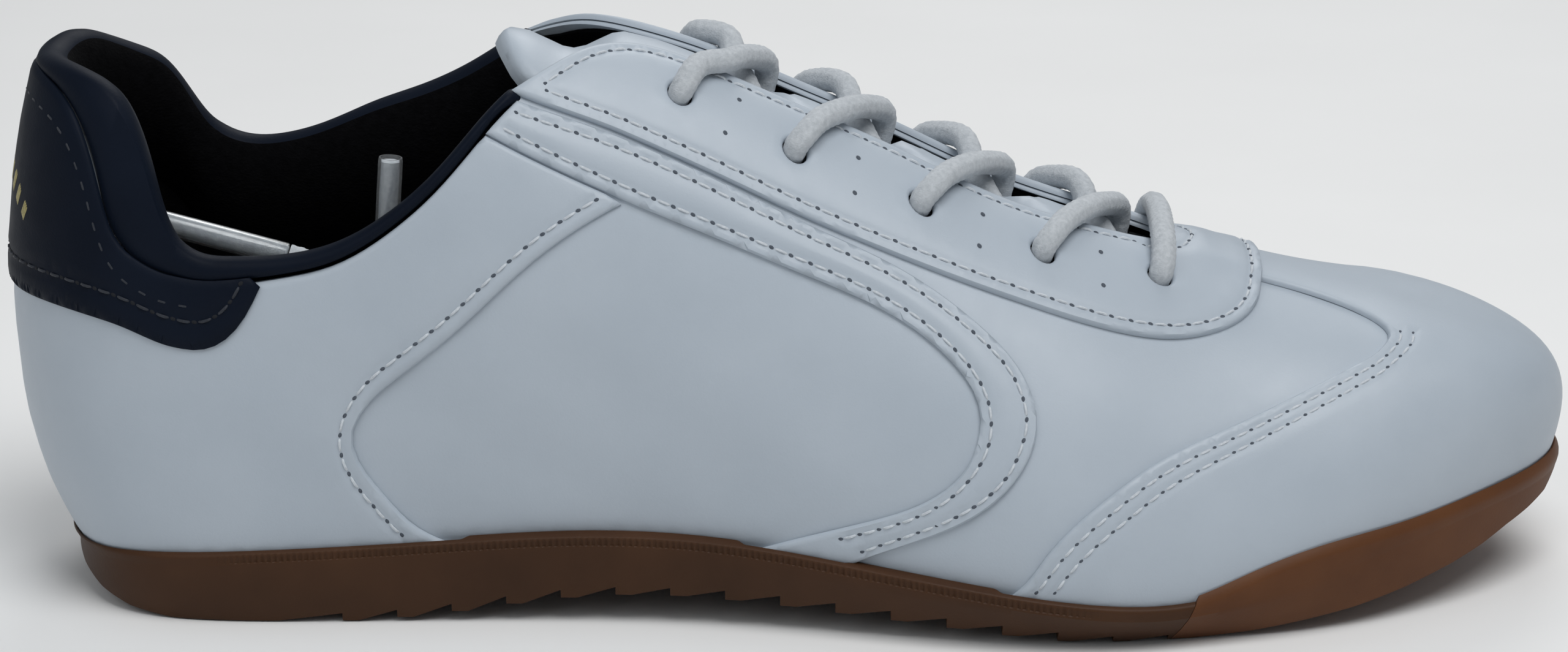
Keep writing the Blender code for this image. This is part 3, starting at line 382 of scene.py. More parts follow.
def fill(outline, holes, pitch, grooves):
    """Flat triangles of a pattern piece, with close rings along every edge."""
    area = sum(a[0] * b[1] - b[0] * a[1] for a, b in zip(outline, np.roll(outline, -1, axis=0)))
    loops = [np.asarray(loop, float) for loop in (outline[::1 if area > 0 else -1], *holes)]
    border, edges = ring_points(loops)
    grid = staggered(border, pitch)
    grid = grid[within(grid, loops)]
    clear = clearance(grid, loops) > EDGE_RINGS[-1] + GRID_CLEAR * pitch
    for line in grooves:
        clear &= distance(grid, line) > GROOVE_RAILS[-1] + GRID_CLEAR * pitch
    every = np.concatenate([border, rails(grooves, loops), grid[clear]])
    flat, _, faces, *_ = delaunay_2d_cdt([Vector(p) for p in every], edges, [], 0, 1e-4)
    flat = np.array([tuple(p) for p in flat])
    faces = np.array([f for f in faces if len(f) == 3])
    faces = faces[within(flat[faces].mean(1), loops)]
    a, b, c = (flat[faces[:, k]] for k in range(3))
    turn = (b[:, 0] - a[:, 0]) * (c[:, 1] - a[:, 1]) - (b[:, 1] - a[:, 1]) * (c[:, 0] - a[:, 0])
    faces[turn < 0] = faces[turn < 0][:, ::-1]
    faces = faces[np.abs(turn) > 1e-7]
    used = np.unique(faces)
    index = np.full(len(flat), -1)
    index[used] = np.arange(len(used))
    return flat[used], index[faces], clearance(flat[used], loops)


def border_edges(faces):
    """Directed edges that only one face has."""
    edges = {(int(f[i]), int(f[(i + 1) % 3])) for f in faces for i in range(3)}
    return sorted(e for e in edges if (e[1], e[0]) not in edges)


def rounded(edge, radius, start):
    """Height share of a rounded edge: start at the very edge, 1 beyond the radius."""
    t = np.clip(edge / radius, 0, 1)
    return start + (1 - start) * np.sqrt(np.clip(1 - (1 - t) ** 2, 0, 1))


def waves(points, length, height):
    """Slow, uneven swells over a surface."""
    k = 2 * math.pi / length
    x, y, z = points.T
    swell = np.sin(k * x + 1.3 * np.sin(k * z * 0.8)) * np.sin(k * y * 0.9 + 0.7 * k * z + 1.1)
    return height * (swell + 0.5 * np.sin(1.9 * k * (x * 0.6 + z) + 2.0))


def at_each(height, x, y):
    """A height, or a function of the place, as one number per point."""
    return height(x, y) if callable(height) else np.full(len(x), height)


def panel(name, materials, slot, replaces, outline, low, high, holes=(), grooves=(), pitch=2.6,
          radius=0.85, start=0.5, body="shoe", relief=None, step=1.6):
    """A sewn pattern piece: a sheet with rounded edges and grooves along its stitching.

    The second material, if there is one, is on its back. Relief: length and height of swells.
    """
    flat, faces, edge = fill(resampled(outline, step), holes, pitch, grooves)
    x, y = flat[:, 0], flat[:, 1]
    base = last(x, y)
    lows, tops = at_each(low, x, y), at_each(high, x, y)
    tops = lows + (tops - lows) * rounded(edge, radius, start)
    near = np.full(len(x), 1e3)
    for line in grooves:
        away = distance(base, last(*np.array(line).T))
        swell = SWELL * np.exp(-((away - SWELL_PLACE) / SWELL_WIDTH) ** 2)
        tops -= GROOVE_DEPTH * (np.exp(-(away / GROOVE_WIDTH) ** 2) - swell)
        near = np.minimum(near, away)
    if relief is not None:
        tops += waves(base, *relief) * smooth(edge / 4) * (1 - np.exp(-(near / 4) ** 2))
    count = len(flat)
    points = np.concatenate([upper(x, y, lows), upper(x, y, tops)])
    skin = [tuple(f + count) for f in faces]
    back = [tuple(f[::-1]) for f in faces]
    walls = [(a, b, b + count, a + count) for a, b in border_edges(faces)]
    kinds = [0] * len(skin) + [len(materials) - 1] * len(back) + [0] * len(walls)
    return piece(name, points, skin + back + walls, materials, slot, replaces, body, kinds)


def loft(rings):
    """A closed solid through rings that have the same number of points."""
    rings = np.asarray(rings, float)
    rows, around = rings.shape[:2]
    faces = [(r * around + j, r * around + (j + 1) % around,
              (r + 1) * around + (j + 1) % around, (r + 1) * around + j)
             for r in range(rows - 1) for j in range(around)]
    faces += [tuple(range(around))[::-1], tuple((rows - 1) * around + j for j in range(around))]
    return rings.reshape(-1, 3), faces


def gathered(solids):
    """Several solids as one list of points and one of faces."""
    points, faces, first = [], [], 0
    for part, part_faces in solids:
        points.append(part)
        faces += [tuple(first + i for i in face) for face in part_faces]
        first += len(part)
    return np.concatenate(points), faces


def circled(centres, across, up, radii, around):
    """Rings about centres, in the plane of two directions."""
    turns = np.linspace(0, 2 * math.pi, around, endpoint=False)[None, :, None]
    radii = np.asarray(radii, float).reshape(len(centres), -1, 1)
    return (centres[:, None] + radii
            * (across[:, None] * np.cos(turns) + up[:, None] * np.sin(turns)))


def tube_mesh(line, radius, around, pattern=None):
    """Rings along a line. The radius may vary; a pattern adds to it by turn and length."""
    line = np.asarray(line, float)
    heading = unit(np.gradient(line, axis=0))
    normal = unit(np.cross(heading[0], (0.0, 0.31, 0.95)))
    normals = []
    for h in heading:
        normal = unit(normal - h * (normal @ h))
        normals.append(normal)
    normals = np.array(normals)
    turns = np.linspace(0, 2 * math.pi, around, endpoint=False)
    radii = np.broadcast_to(np.asarray(radius, float), (len(line),))[:, None] + 0 * turns
    if pattern is not None:
        radii = radii + pattern(turns[None, :], walked(line)[:, None])
    return loft(circled(line, normals, np.cross(heading, normals), radii, around))


def braid(strands, lay, height):
    """The bumps of a round braid."""
    def pattern(turns, along):
        across, down = strands * turns, 2 * math.pi * along / lay
        return height * (np.cos(across + down) * np.cos(across - down)
                         + 0.35 * np.cos(2 * across) * np.cos(2 * down))
    return pattern


# ---------------------------------------------------------------- stitching
STITCH_PITCH = 3.8
STITCH_LENGTH = 2.7
THREAD = 0.27                          # radius
THREAD_STEPS = np.array([-1, -0.82, -0.4, 0.4, 0.82, 1.0])
THREAD_SIZES = np.array([0.45, 0.85, 1, 1, 0.85, 0.45])
THREAD_LIFT, THREAD_DIVE = 0.22, 0.5   # over the leather, and down at its ends
HOLE_HEIGHTS = np.array([-0.39, 0.02, 0.14])
HOLE_SIZES = np.array([0.26, 0.39, 0.24])
HOLE_SLANT, HOLE_STRETCH = 0.35, 1.35


def stitch(track, track_up, spots):
    """A stitch of thread over the leather."""
    points = track(spots)
    up = unit(track_up(spots) - points)
    across = np.cross(unit(np.gradient(points, axis=0)), up)
    centres = points + up * (THREAD_LIFT - THREAD_DIVE * np.abs(THREAD_STEPS) ** 3)[:, None]
    return loft(circled(centres, across, up, THREAD * THREAD_SIZES, 6))


def painted_hole_shade(track, track_up, spot):
    """A slanted dark dimple where the thread goes in: painted shade of the needle hole."""
    centre = track(spot)
    up = unit(track_up(spot) - centre)
    heading = unit(track(spot + 0.01) - track(spot - 0.01))
    side = np.cross(heading, up)
    long_way = heading * math.cos(HOLE_SLANT) + side * math.sin(HOLE_SLANT)
    short_way = side * math.cos(HOLE_SLANT) - heading * math.sin(HOLE_SLANT)
    centres = centre + up * HOLE_HEIGHTS[:, None]
    return loft(circled(centres, np.tile(HOLE_STRETCH * long_way, (3, 1)),
                        np.tile(short_way, (3, 1)), HOLE_SIZES, 8))


def stitches(name, lines, thread, hole, body="shoe", slot="white_lace", pitch=STITCH_PITCH,
             length=STITCH_LENGTH):
    """Sewn thread along surface lines: (pattern line, height of the leather) pairs."""
    threads, holes = [], []
    for line, height in lines:
        x, y = np.array(line, float).T
        lift = at_each(height, x, y)
        ground = upper(x, y, lift - 0.30)
        along = walked(ground)
        tracks = spline(along, ground), spline(along, upper(x, y, lift + 0.70))
        count = max(1, int(along[-1] / pitch))
        real_pitch = along[-1] / count
        reach = THREAD_STEPS * min(length, real_pitch) / 2
        threads += [stitch(*tracks, (k + 0.5) * real_pitch + reach) for k in range(count)]
        # each needle hole gets a dark dimple, painted shade in the hole
        holes += [painted_hole_shade(*tracks, np.clip(k * real_pitch, 0.01, along[-1] - 0.01))
                  for k in range(count + 1)]
    points, faces = gathered(threads + holes)
    dark = sum(len(part_faces) for _, part_faces in holes)
    kinds = [0] * (len(faces) - dark) + [1] * dark
    return piece(name, points, faces, [thread, hole], slot, (), body, kinds)


# ---------------------------------------------------------------- materials
EVEN = (1, 1, 1)
# kinds of texture: node, feature and output
NOISE = ("Noise", None, "Fac")
PEBBLES = ("Voronoi", "SMOOTH_F1", "Distance")
CELLS = ("Voronoi", "F1", "Distance")


def texture(made, kind, scale, detail, stretch=EVEN):
    """The output of a procedural texture in object space, its scale in cycles per metre."""
    nodes, links = made.node_tree.nodes, made.node_tree.links
    coordinates = nodes.new("ShaderNodeTexCoord")
    mapping = nodes.new("ShaderNodeMapping")
    mapping.inputs["Scale"].default_value = stretch
    links.new(coordinates.outputs["Object"], mapping.inputs["Vector"])
    word, feature, output = kind
    node = nodes.new("ShaderNodeTex" + word)
    if feature:
        node.feature = feature
    node.inputs["Scale"].default_value = scale
    node.inputs["Detail"].default_value = detail
    links.new(mapping.outputs["Vector"], node.inputs["Vector"])
    return node.outputs[output]


def ramp(made, source, places, colours):
    """A colour ramp between two colours on a texture."""
    node = made.node_tree.nodes.new("ShaderNodeValToRGB")
    made.node_tree.links.new(source, node.inputs["Fac"])
    for element, at, colour in zip(node.color_ramp.elements, places, colours):
        element.position = at
        element.color = (*colour, 1.0)
    return node.outputs["Color"]


def surface(name, colours, places, drift, roughness, bumps=(), **inputs):
    """A material: its colour drifts between two, and its bumps lie on top of one another.

    drift: scale, detail and perhaps stretch of the noise under the colours. bumps: rows of
    strength, depth and the texture that makes the bump, which is that noise when left out.
    """
    made = bpy.data.materials.new(name)
    made.use_nodes = True
    nodes, links = made.node_tree.nodes, made.node_tree.links
    bsdf = nodes["Principled BSDF"]
    bsdf.inputs["Roughness"].default_value = roughness
    for key, value in inputs.items():
        bsdf.inputs[key.replace("_", " ")].default_value = value
    noise = texture(made, NOISE, *drift)
    links.new(ramp(made, noise, places, colours), bsdf.inputs["Base Color"])
    after = None
    for strength, depth, *grain in bumps:
        node = nodes.new("ShaderNodeBump")
        node.inputs["Strength"].default_value = strength
        node.inputs["Distance"].default_value = depth
        links.new(texture(made, *grain) if grain else noise, node.inputs["Height"])
        if after is not None:
            links.new(after.outputs["Normal"], node.inputs["Normal"])
        links.new(node.outputs["Normal"], bsdf.inputs["Normal"])
        after = node
    return made


def leather(name, dark, light, roughness, grain, shine=0.5):
    """Coated leather: fine pebbled grain, faint colour drift and uneven gloss."""
    made = surface(name, (dark, light), (0.30, 0.72), (38, 4), roughness,
                   [(grain, 0.00006, PEBBLES, 2100, 2), (grain * 0.8, 0.00005, NOISE, 1500, 5),
                    (0.10, 0.0004, NOISE, 90, 2)], Specular_IOR_Level=shine)
    nodes, links = made.node_tree.nodes, made.node_tree.links
    limits = nodes.new("ShaderNodeMapRange")
    limits.inputs["To Min"].default_value = roughness - 0.06
    limits.inputs["To Max"].default_value = roughness + 0.08
    links.new(texture(made, NOISE, 260, 3), limits.inputs["Value"])
    links.new(limits.outputs["Result"], nodes["Principled BSDF"].inputs["Roughness"])
    return made


def cloth(name, dark, light, roughness, scale, depth, sheen=0.12, shine=0.4):
    """A plain textile: crossed threads, fuzz and a soft sheen."""
    return surface(name, (dark, light), (0.32, 0.68), (scale * 0.45, 6), roughness,
                   [(0.5, depth, CELLS, scale, 2, (1, 1, 1.4)), (0.4, depth)],
                   Sheen_Weight=sheen, Sheen_Roughness=0.6, Specular_IOR_Level=shine)


def gum(name, dark, light):
    """Natural gum rubber: cloudy colour, fine moulded texture."""
    return surface(name, (dark, light), (0.28, 0.74), (55, 5), 0.5,
                   [(0.35, 0.00008, NOISE, 1700, 4), (0.15, 0.0003, NOISE, 130, 3)],
                   Specular_IOR_Level=0.18)


def speckled(name, dark, light, roughness, scale, metallic=0.0):
    """Board, foam or steel: a speckled colour and a small bump."""
    return surface(name, (dark, light), (0.3, 0.7), (scale, 5), roughness,
                   [(0.3, 0.0001)], Metallic=metallic)


def clear_film():
    """The see-through sleeve of an aglet."""
    return surface("aglet_film", ((0.80, 0.83, 0.85), (0.93, 0.95, 0.96)), (0.3, 0.7),
                   (900, 3, (1, 1, 0.3)), 0.12, [(0.12, 0.0001)],
                   Transmission_Weight=0.92, IOR=1.46)


WHITE = leather("white_leather_grain", (0.4, 0.455, 0.515), (0.435, 0.49, 0.55), 0.44, 0.22)
WHITE_BACK = speckled("leather_cut_edge", (0.36, 0.4, 0.44), (0.42, 0.46, 0.5), 0.85, 900)
NAVY = leather("navy_leather_grain", (0.0035, 0.006, 0.0125), (0.0055, 0.009, 0.018), 0.50, 0.30,
               shine=0.07)
BLACK = cloth("black_textile", (0.001, 0.001, 0.0014), (0.0024, 0.0024, 0.003), 0.9, 1300,
              0.0002, sheen=0.0, shine=0.06)
# two copies of one gum rubber: the toe bumper's is lighter, painted light on faces that turn up and
# forward
GUM = gum("gum_rubber_moulded", (0.044, 0.0185, 0.0074), (0.063, 0.027, 0.0113))
GUM_TOE_LIT = gum("gum_rubber_bumper_painted_lit", (0.088, 0.033, 0.0125), (0.122, 0.048, 0.018))
LACE = cloth("lace_cotton", (0.42, 0.45, 0.48), (0.53, 0.56, 0.59), 0.88, 2600, 0.00012)
THREAD_WHITE = cloth("white_thread", (0.5, 0.54, 0.58), (0.62, 0.66, 0.7), 0.6, 4000, 0.00005)
THREAD_NAVY = cloth("navy_thread", (0.006, 0.009, 0.016), (0.011, 0.016, 0.027), 0.6, 4000, 0.00005)
THREAD_GOLD = cloth("gold_thread", (0.26, 0.22, 0.07), (0.42, 0.36, 0.13), 0.5, 4000, 0.00005)
# dark fills for needle holes and eyestay perforations: painted shade in the holes
HOLE_SHADE = speckled("painted_hole_shade", (0.055, 0.068, 0.088), (0.09, 0.105, 0.13), 0.9, 3000)
NAVY_HOLE_SHADE = speckled("navy_painted_hole_shade", (0.003, 0.004, 0.007), (0.005, 0.007, 0.012), 0.9, 3000)
FILM = clear_film()
BACKED = [WHITE, WHITE_BACK]
HIDDEN = {
    "counter_board": speckled("stiffener_board", (0.40, 0.36, 0.28), (0.50, 0.45, 0.36), 0.85, 1200),
    "fibreboard": speckled("insole_fibreboard", (0.36, 0.28, 0.18), (0.48, 0.38, 0.26), 0.9, 1500),
    "foam": speckled("open_cell_foam", (0.62, 0.58, 0.46), (0.76, 0.72, 0.60), 0.95, 2200),
    "spring_steel": speckled("shank_steel", (0.42, 0.43, 0.45), (0.55, 0.56, 0.58), 0.35, 700, 1.0),
    "gum_rubber": GUM, "black_lining": BLACK, "white_leather": WHITE, "navy_leather": NAVY,
    "white_lace": LACE, "clear_plastic": FILM,
}

# ---------------------------------------------------------------- camera
AIM = (147.5, 0.0, 46.6)
CAMERA_DISTANCE = 800.0
ELEVATION = math.radians(17)
LENS = 97.13

camera_data = bpy.data.cameras.new("camera")
camera_data.lens = LENS
camera_data.sensor_width = 36.0
camera_data.clip_start = 0.01
camera = linked("camera", camera_data)
back_off = np.array([0, -math.cos(ELEVATION), math.sin(ELEVATION)]) * CAMERA_DISTANCE
camera.location = Vector(place(np.array(AIM) + back_off))
camera.rotation_euler = (math.pi / 2 - ELEVATION, 0, 0)
bpy.context.scene.camera = camera
bpy.context.scene.view_settings.view_transform = "Standard"

# ---------------------------------------------------------------- free ends of the lace
LACE_RADIUS = 2.1
LACE_STEP, TAIL_STEP = 0.45, 0.42
AGLET_LENGTH = 24.0
AGLET_SIDES = 32
TAIL_LATERAL = [
    (115.3, -23.4, 80.2), (111.2, -26.4, 74.5), (107, -28.2, 65.8), (102.5, -28.4, 51.5),
    (98, -25.0, 37), (92.5, -17, 26), (84, -7.5, 20.6), (73, -1, 19.6), (62.5, -0.2, 19.2),
    (55, -3.0, 19.2), (51.0, -10, 19.6), (54.8, -17.4, 21.4), (61, -20.4, 26),
    (67.5, -21, 33), (71.8, -21.7, 43), (73.6, -22.0, 53), (74.3, -22.0, 61),
]
TAIL_MEDIAL = [
    (115.3, 22.1, 81.5), (111.2, 24.6, 76.0), (107, 26.0, 67.5), (102, 25.8, 52),
    (98, 23.0, 37.5), (93, 18.8, 27), (85, 15.5, 20.8), (73, 13.5, 19.8), (57, 12.2, 19.2),
    (44, 6.6, 19.2), (36.2, -3.5, 19.6), (37.5, -13.5, 22), (43, -19.4, 27.5), (50, -21.2, 33.5),
    (58, -21.7, 40.5), (64.2, -21.8, 48.5), (66.2, -21.8, 57), (63.4, -21.6, 63.8),
    (57, -21.4, 66.6),
]
BRAID = braid(4, 3.3, 0.085)


def creases(turns, along):
    """The pinched folds of the lace in its aglet."""
    return 0.05 * np.cos(7 * turns + 0.35 * along)


def aglet(word, tip, heading):
    """A clear sleeve over the pinched end of the lace."""
    start = tip + heading * 0.35
    inner = start + heading * np.linspace(0, AGLET_LENGTH - 0.7, 30)[:, None]
    core = piece("lace_end_" + word, *tube_mesh(inner, 1.72, 28, creases), [LACE], "white_lace")
    outer = start + heading * np.array([0, 0.3, 12, AGLET_LENGTH - 0.6, AGLET_LENGTH])[:, None]
    out, out_faces = tube_mesh(outer, [2.05, 2.22, 2.25, 2.25, 2.12], AGLET_SIDES)
    bore, bore_faces = tube_mesh(outer, [1.84, 1.86, 1.86, 1.86, 1.88], AGLET_SIDES)
    count = len(out)
    top = count - AGLET_SIDES
    faces = out_faces[:-2] + [tuple(i + count for i in f[::-1]) for f in bore_faces[:-2]]
    for j in range(AGLET_SIDES):
        k = (j + 1) % AGLET_SIDES
        faces.append((k, j, count + j, count + k))
        faces.append((top + j, top + k, count + top + k, count + top + j))
    sleeve = piece("aglet_sleeve_" + word, np.concatenate([out, bore]), faces, [FILM],
                   "clear_plastic", ("aglet_" + word,))
    return core, sleeve


def tail(word, route):
    """A free end of the lace, with its aglet."""
    line = np.array(flow(route, TAIL_STEP))
    cord = piece("lace_end_run_" + word, *tube_mesh(line, LACE_RADIUS - 0.06, 32, BRAID), [LACE],
                 "white_lace", ("lace_tail_" + word,))
    ends = aglet(word, line[-1], unit(line[-1] - line[-3]))


tail("lateral", TAIL_LATERAL)
tail("medial", TAIL_MEDIAL)

# ---------------------------------------------------------------- pattern helpers
# drawn for the medial side (y positive) and mirrored for the lateral side
THROAT_EDGE = [(98.3, 22.6), (104.5, 17.2), (112, 10.5), (119, 7.0), (134, 7.2), (150, 8),
               (166, 8.6), (184, 9), (204, 8.2), (212, 7.2)]
THROAT_END = [(212, -7.2), (217.5, -5), (219.8, 0), (217.5, 5), (212, 7.2)]
EYESTAY_EDGE = [(98.3, 22.8), (105.3, 23.6), (116, 24.9), (127, 26.8), (148, 29.6),
                (169, 30.6), (190, 29.9), (209, 30.3), (217, 29.7), (225.5, 27.2),
                (231.5, 23), (235, 17), (236.4, 9), (236.8, 0)]
STRIPE_OUTER = [(99.3, 24.0), (116, 25.7), (133.5, 28.5), (155, 31.2), (173, 33.2),
                (184, 36.8), (190.5, 41.5), (193.2, 48.5), (190.8, 56.3), (183.8, 64.6),
                (172, 72.2), (163, 76.9), (157.5, 80)]
STRIPE_INNER = [(93.9, 29.7), (119, 35), (150, 38.4), (168, 40), (177, 42.8),
                (182.8, 48), (182.8, 54.5), (176.5, 63.4), (162, 71.5), (148, 77.2),
                (141, 80)]
STRIPE_MIDDLE = [(99, 27.8), (118, 31.2), (142, 34), (171, 36.8), (182, 41),
                 (188, 48.5), (185, 57.5), (177, 66), (162, 75), (150, 80)]
QUARTER_EDGE = [(118.4, 35.6), (103, 44.4), (87.2, 53.9), (77, 58.3), (72, 61),
                (69.6, 64.5), (70.6, 67.2), (74, 71), (80, 76.4), (88, 80)]
TOE_CAP_EDGE = [(187.5, 80), (191.4, 75.5), (194.5, 70.5), (198.6, 65), (206, 57.8),
                (213, 52.4), (229.9, 44.8), (251.5, 33), (257.4, 27), (259.2, 21.8),
                (257.3, 17.2), (252.5, 13), (246.8, 10.6), (240, 9.3), (231, 8.2), (226.6, 5),
                (225.4, 0)]
PATCH_EDGE = [(54.5, 48.6), (51.5, 52), (47, 54.6), (41, 55.4), (33, 54.4), (23, 51),
              (14, 46.3), (3, 37.3), (-6, 24.5), (-11, 9), (-11.8, 0)]

# the padded collar: top line x, y and outer seam x, y from the back of the heel forward
COLLAR = {
    LATERAL: [
        (11, -15, 10, -15.5), (18, -25, 15.3, -26.5), (25.5, -32, 18.8, -35),
        (31.5, -39, 21.5, -41.5), (36, -44.5, 29, -46.8), (42, -47.3, 39.2, -49.2),
        (50, -47.2, 49, -48.6), (58, -46.3, 58, -47.2), (66.5, -44.7, 66.9, -45.5),
        (75, -41.8, 75.5, -42.5), (84, -36.9, 84.5, -37.6), (91.5, -30.3, 92.1, -31),
        (97, -24.5, 97.6, -25.2),
    ],
    MEDIAL: [
        (10.5, 14, 9.5, 14.5), (15, 23.5, 13.3, 25), (20.5, 30, 16.8, 32.5),
        (26, 34.5, 20, 38), (31.5, 39.2, 25, 42.5), (37, 42.8, 33, 45.2),
        (44, 44, 42.6, 45.6), (52, 43, 51.6, 44.1), (60, 40.8, 60, 41.7),
        (69, 37.8, 69.3, 38.6), (78, 35.5, 78.4, 36.2), (87.2, 31.9, 87.7, 32.6),
        (97, 24.5, 97.6, 25.2),
    ],
}
COLLAR_BACK = (7.5, 0, 6.3, 0)
COLLAR_DEPTH = 24.0                    # how far its padded inside reaches down

EDGE_STEP = 5.0
FAN_STEPS = 40
SIDES = ((LATERAL, "lateral"), (MEDIAL, "medial"))


def sole_edge(x_from, x_to, side):
    return flow([(x_from, side * RIM), (x_to, side * RIM)], EDGE_STEP)


def toe_fan():
    turns = np.linspace(-math.pi / 2, math.pi / 2, 2 * FAN_STEPS + 1)
    return [(TOE_POLE + RIM * math.cos(a), RIM * math.sin(a)) for a in turns]


def heel_fan(side):
    turns = np.linspace(0.004, math.pi / 2, FAN_STEPS + 1)
    return [(HEEL_POLE - RIM * math.cos(a), side * RIM * math.sin(a)) for a in turns]


def back_seam(side, top):
    return flow([(top, side * 0.2), (HEEL_POLE - RIM, side * 0.2)], EDGE_STEP * 0.5)


def beside(line, amount):
    """A line drawn beside another, to its left for a positive amount."""
    line = np.asarray(line, float)
    heading = unit(np.gradient(line, axis=0))
    amounts = np.broadcast_to(amount, len(line))
    return [(x - h * a, y + g * a) for (x, y), (g, h), a in zip(line, heading, amounts)]


def joined(*lines):
    outline = []
    for line in lines:
        for point in line:
            if not outline or math.dist(point, outline[-1]) > 0.05:
                outline.append(tuple(float(c) for c in point))
    if math.dist(outline[0], outline[-1]) < 0.05:
        outline.pop()
    return outline


def collar_line(side, down=0.4):
    """A line a little below the seam of the collar, from the back to the front."""
    rows = [COLLAR_BACK, *COLLAR[side]]
    line = beside(flow([(row[2], row[3]) for row in rows], 2.0), side * down)
    line[0] = (line[0][0], side * 0.2)
    return line


def round_holes(radius):
    """The outline of a hole at each eyelet."""
    turns = [2 * math.pi * (i + 0.5) / 20 for i in range(20)]
    return [[(x + radius * math.cos(a), side * y + radius * math.sin(a)) for a in turns]
            for side in BOTH for x, y in EYELETS]


def throat():
    """The whole edge of the throat, from the lateral tip round the front to the medial."""
    return joined(flow(mirrored(THROAT_EDGE, LATERAL), 2.5), flow(THROAT_END, 1.8),
                  flow(THROAT_EDGE[::-1], 2.5))


def both(line):
    """A line drawn for the medial side, on both sides."""
    return [mirrored(line, MEDIAL), mirrored(line, LATERAL)]


EYELETS = [(216.5, 16.8), (194.8, 19.0), (172.5, 19.5), (149.5, 19.2), (128.5, 15.8)]
LEATHER = 1.2
PLY_GAP = 0.03                         # between one layer of leather and the next
PATCH_HEIGHT = 2.35
LINING_SPLIT = 103.5                   # x where the two linings meet
BOTH = (LATERAL, MEDIAL)


def eyestay_lift(x, y):
    """The eyestay climbs over the end of the toe cap."""
    return LEATHER * smooth((x - 219) / 7) * (1 - smooth((np.abs(y) - 7.5) / 5))


# ---------------------------------------------------------------- stitch rows
ROW_END = 77.5                         # y where the rows stop, just above the sole's edge
eyestay_edge, toe_edge = flow(EYESTAY_EDGE, 2.0), flow(TOE_CAP_EDGE, 2.0)
throat_edge = flow(THROAT_EDGE, 2.0)
stripe_outer, stripe_inner = flow(STRIPE_OUTER, 2.0), flow(STRIPE_INNER, 2.0)
quarter_edge, patch_edge = flow(QUARTER_EDGE, 2.0), flow(PATCH_EDGE, 2.0)
EYESTAY_ROW = [p for p in beside(eyestay_edge, -2.1) if p[0] > 102.9]
THROAT_ROW = [p for p in beside(throat_edge, 2.0) if p[0] > 103.2]
FRONT_ROW = flow([(214, 9.6), (220, 7.6), (223.0, 3.6), (223.8, 0)], 2.0)
PATCH_ROW = beside(patch_edge, 2.6)


def stretch_of(row, start, end):
    """The part of a row between two values of y."""
    return [p for p in row if start < p[1] < end]


def stripe_row(edge, side, end):
    """A row along an edge of the stripe, closer to it where the stripe narrows."""
    aside = 1.85 - 0.5 * smooth((np.array(edge)[:, 1] - 52) / 8)
    return stretch_of(beside(edge, side * aside), 0, end)


TOE_ROWS = [stretch_of(beside(toe_edge, aside)[:-last_points], 19, ROW_END)
            for aside, last_points in ((2.2, 5), (4.6, 8))]
STRIPE_ROWS = [stripe_row(stripe_outer, 1, 76), stripe_row(stripe_inner[1:], -1, 75)]
QUARTER_ROW = stretch_of(beside(quarter_edge, 2.1)[2:], 0, ROW_END)


# ---------------------------------------------------------------- upper
def base_leather():
    """Vamp and side panels, which meet under the stripes."""
    seam = flow(STRIPE_MIDDLE, 2.5)
    ahead, behind = beside(seam, -0.15), beside(seam, 0.15)
    ahead[-1], behind[-1] = (seam[-1][0] + 0.15, RIM), (seam[-1][0] - 0.15, RIM)
    outline = joined(mirrored(ahead, LATERAL), sole_edge(ahead[-1][0], TOE_POLE, LATERAL),
                     toe_fan(), sole_edge(TOE_POLE, ahead[-1][0], MEDIAL), ahead[::-1],
                     throat()[::-1])
    panel("vamp_leather", BACKED, "white_leather", ("vamp",), outline, -1.0, 0.0,
          round_holes(3.0), relief=(46, 0.10))
    for side, word in SIDES:
        top = collar_line(side)[:-2]
        outline = joined(heel_fan(side), sole_edge(HEEL_POLE, behind[-1][0], side),
                         mirrored(behind[::-1], side), top[::-1], back_seam(side, top[0][0]))
        panel("side_leather_" + word, BACKED, "white_leather", ("side_panel_" + word,), outline,
              -1.0, 0.0, relief=(40, 0.12))


def toe_cap():
    outline = joined(mirrored(toe_edge, LATERAL)[::-1],
                     sole_edge(toe_edge[0][0], TOE_POLE, LATERAL), toe_fan(),
                     sole_edge(TOE_POLE, toe_edge[0][0], MEDIAL), toe_edge)
    rows = [line for row in TOE_ROWS for line in both(row)]
    panel("toe_cap_leather", [WHITE], "white_leather", ("toe_cap",), outline, PLY_GAP, LEATHER,
          grooves=rows, relief=(50, 0.08), radius=1.0)
    stitches("toe_cap_stitching", [(row, LEATHER) for row in rows], THREAD_WHITE, HOLE_SHADE)


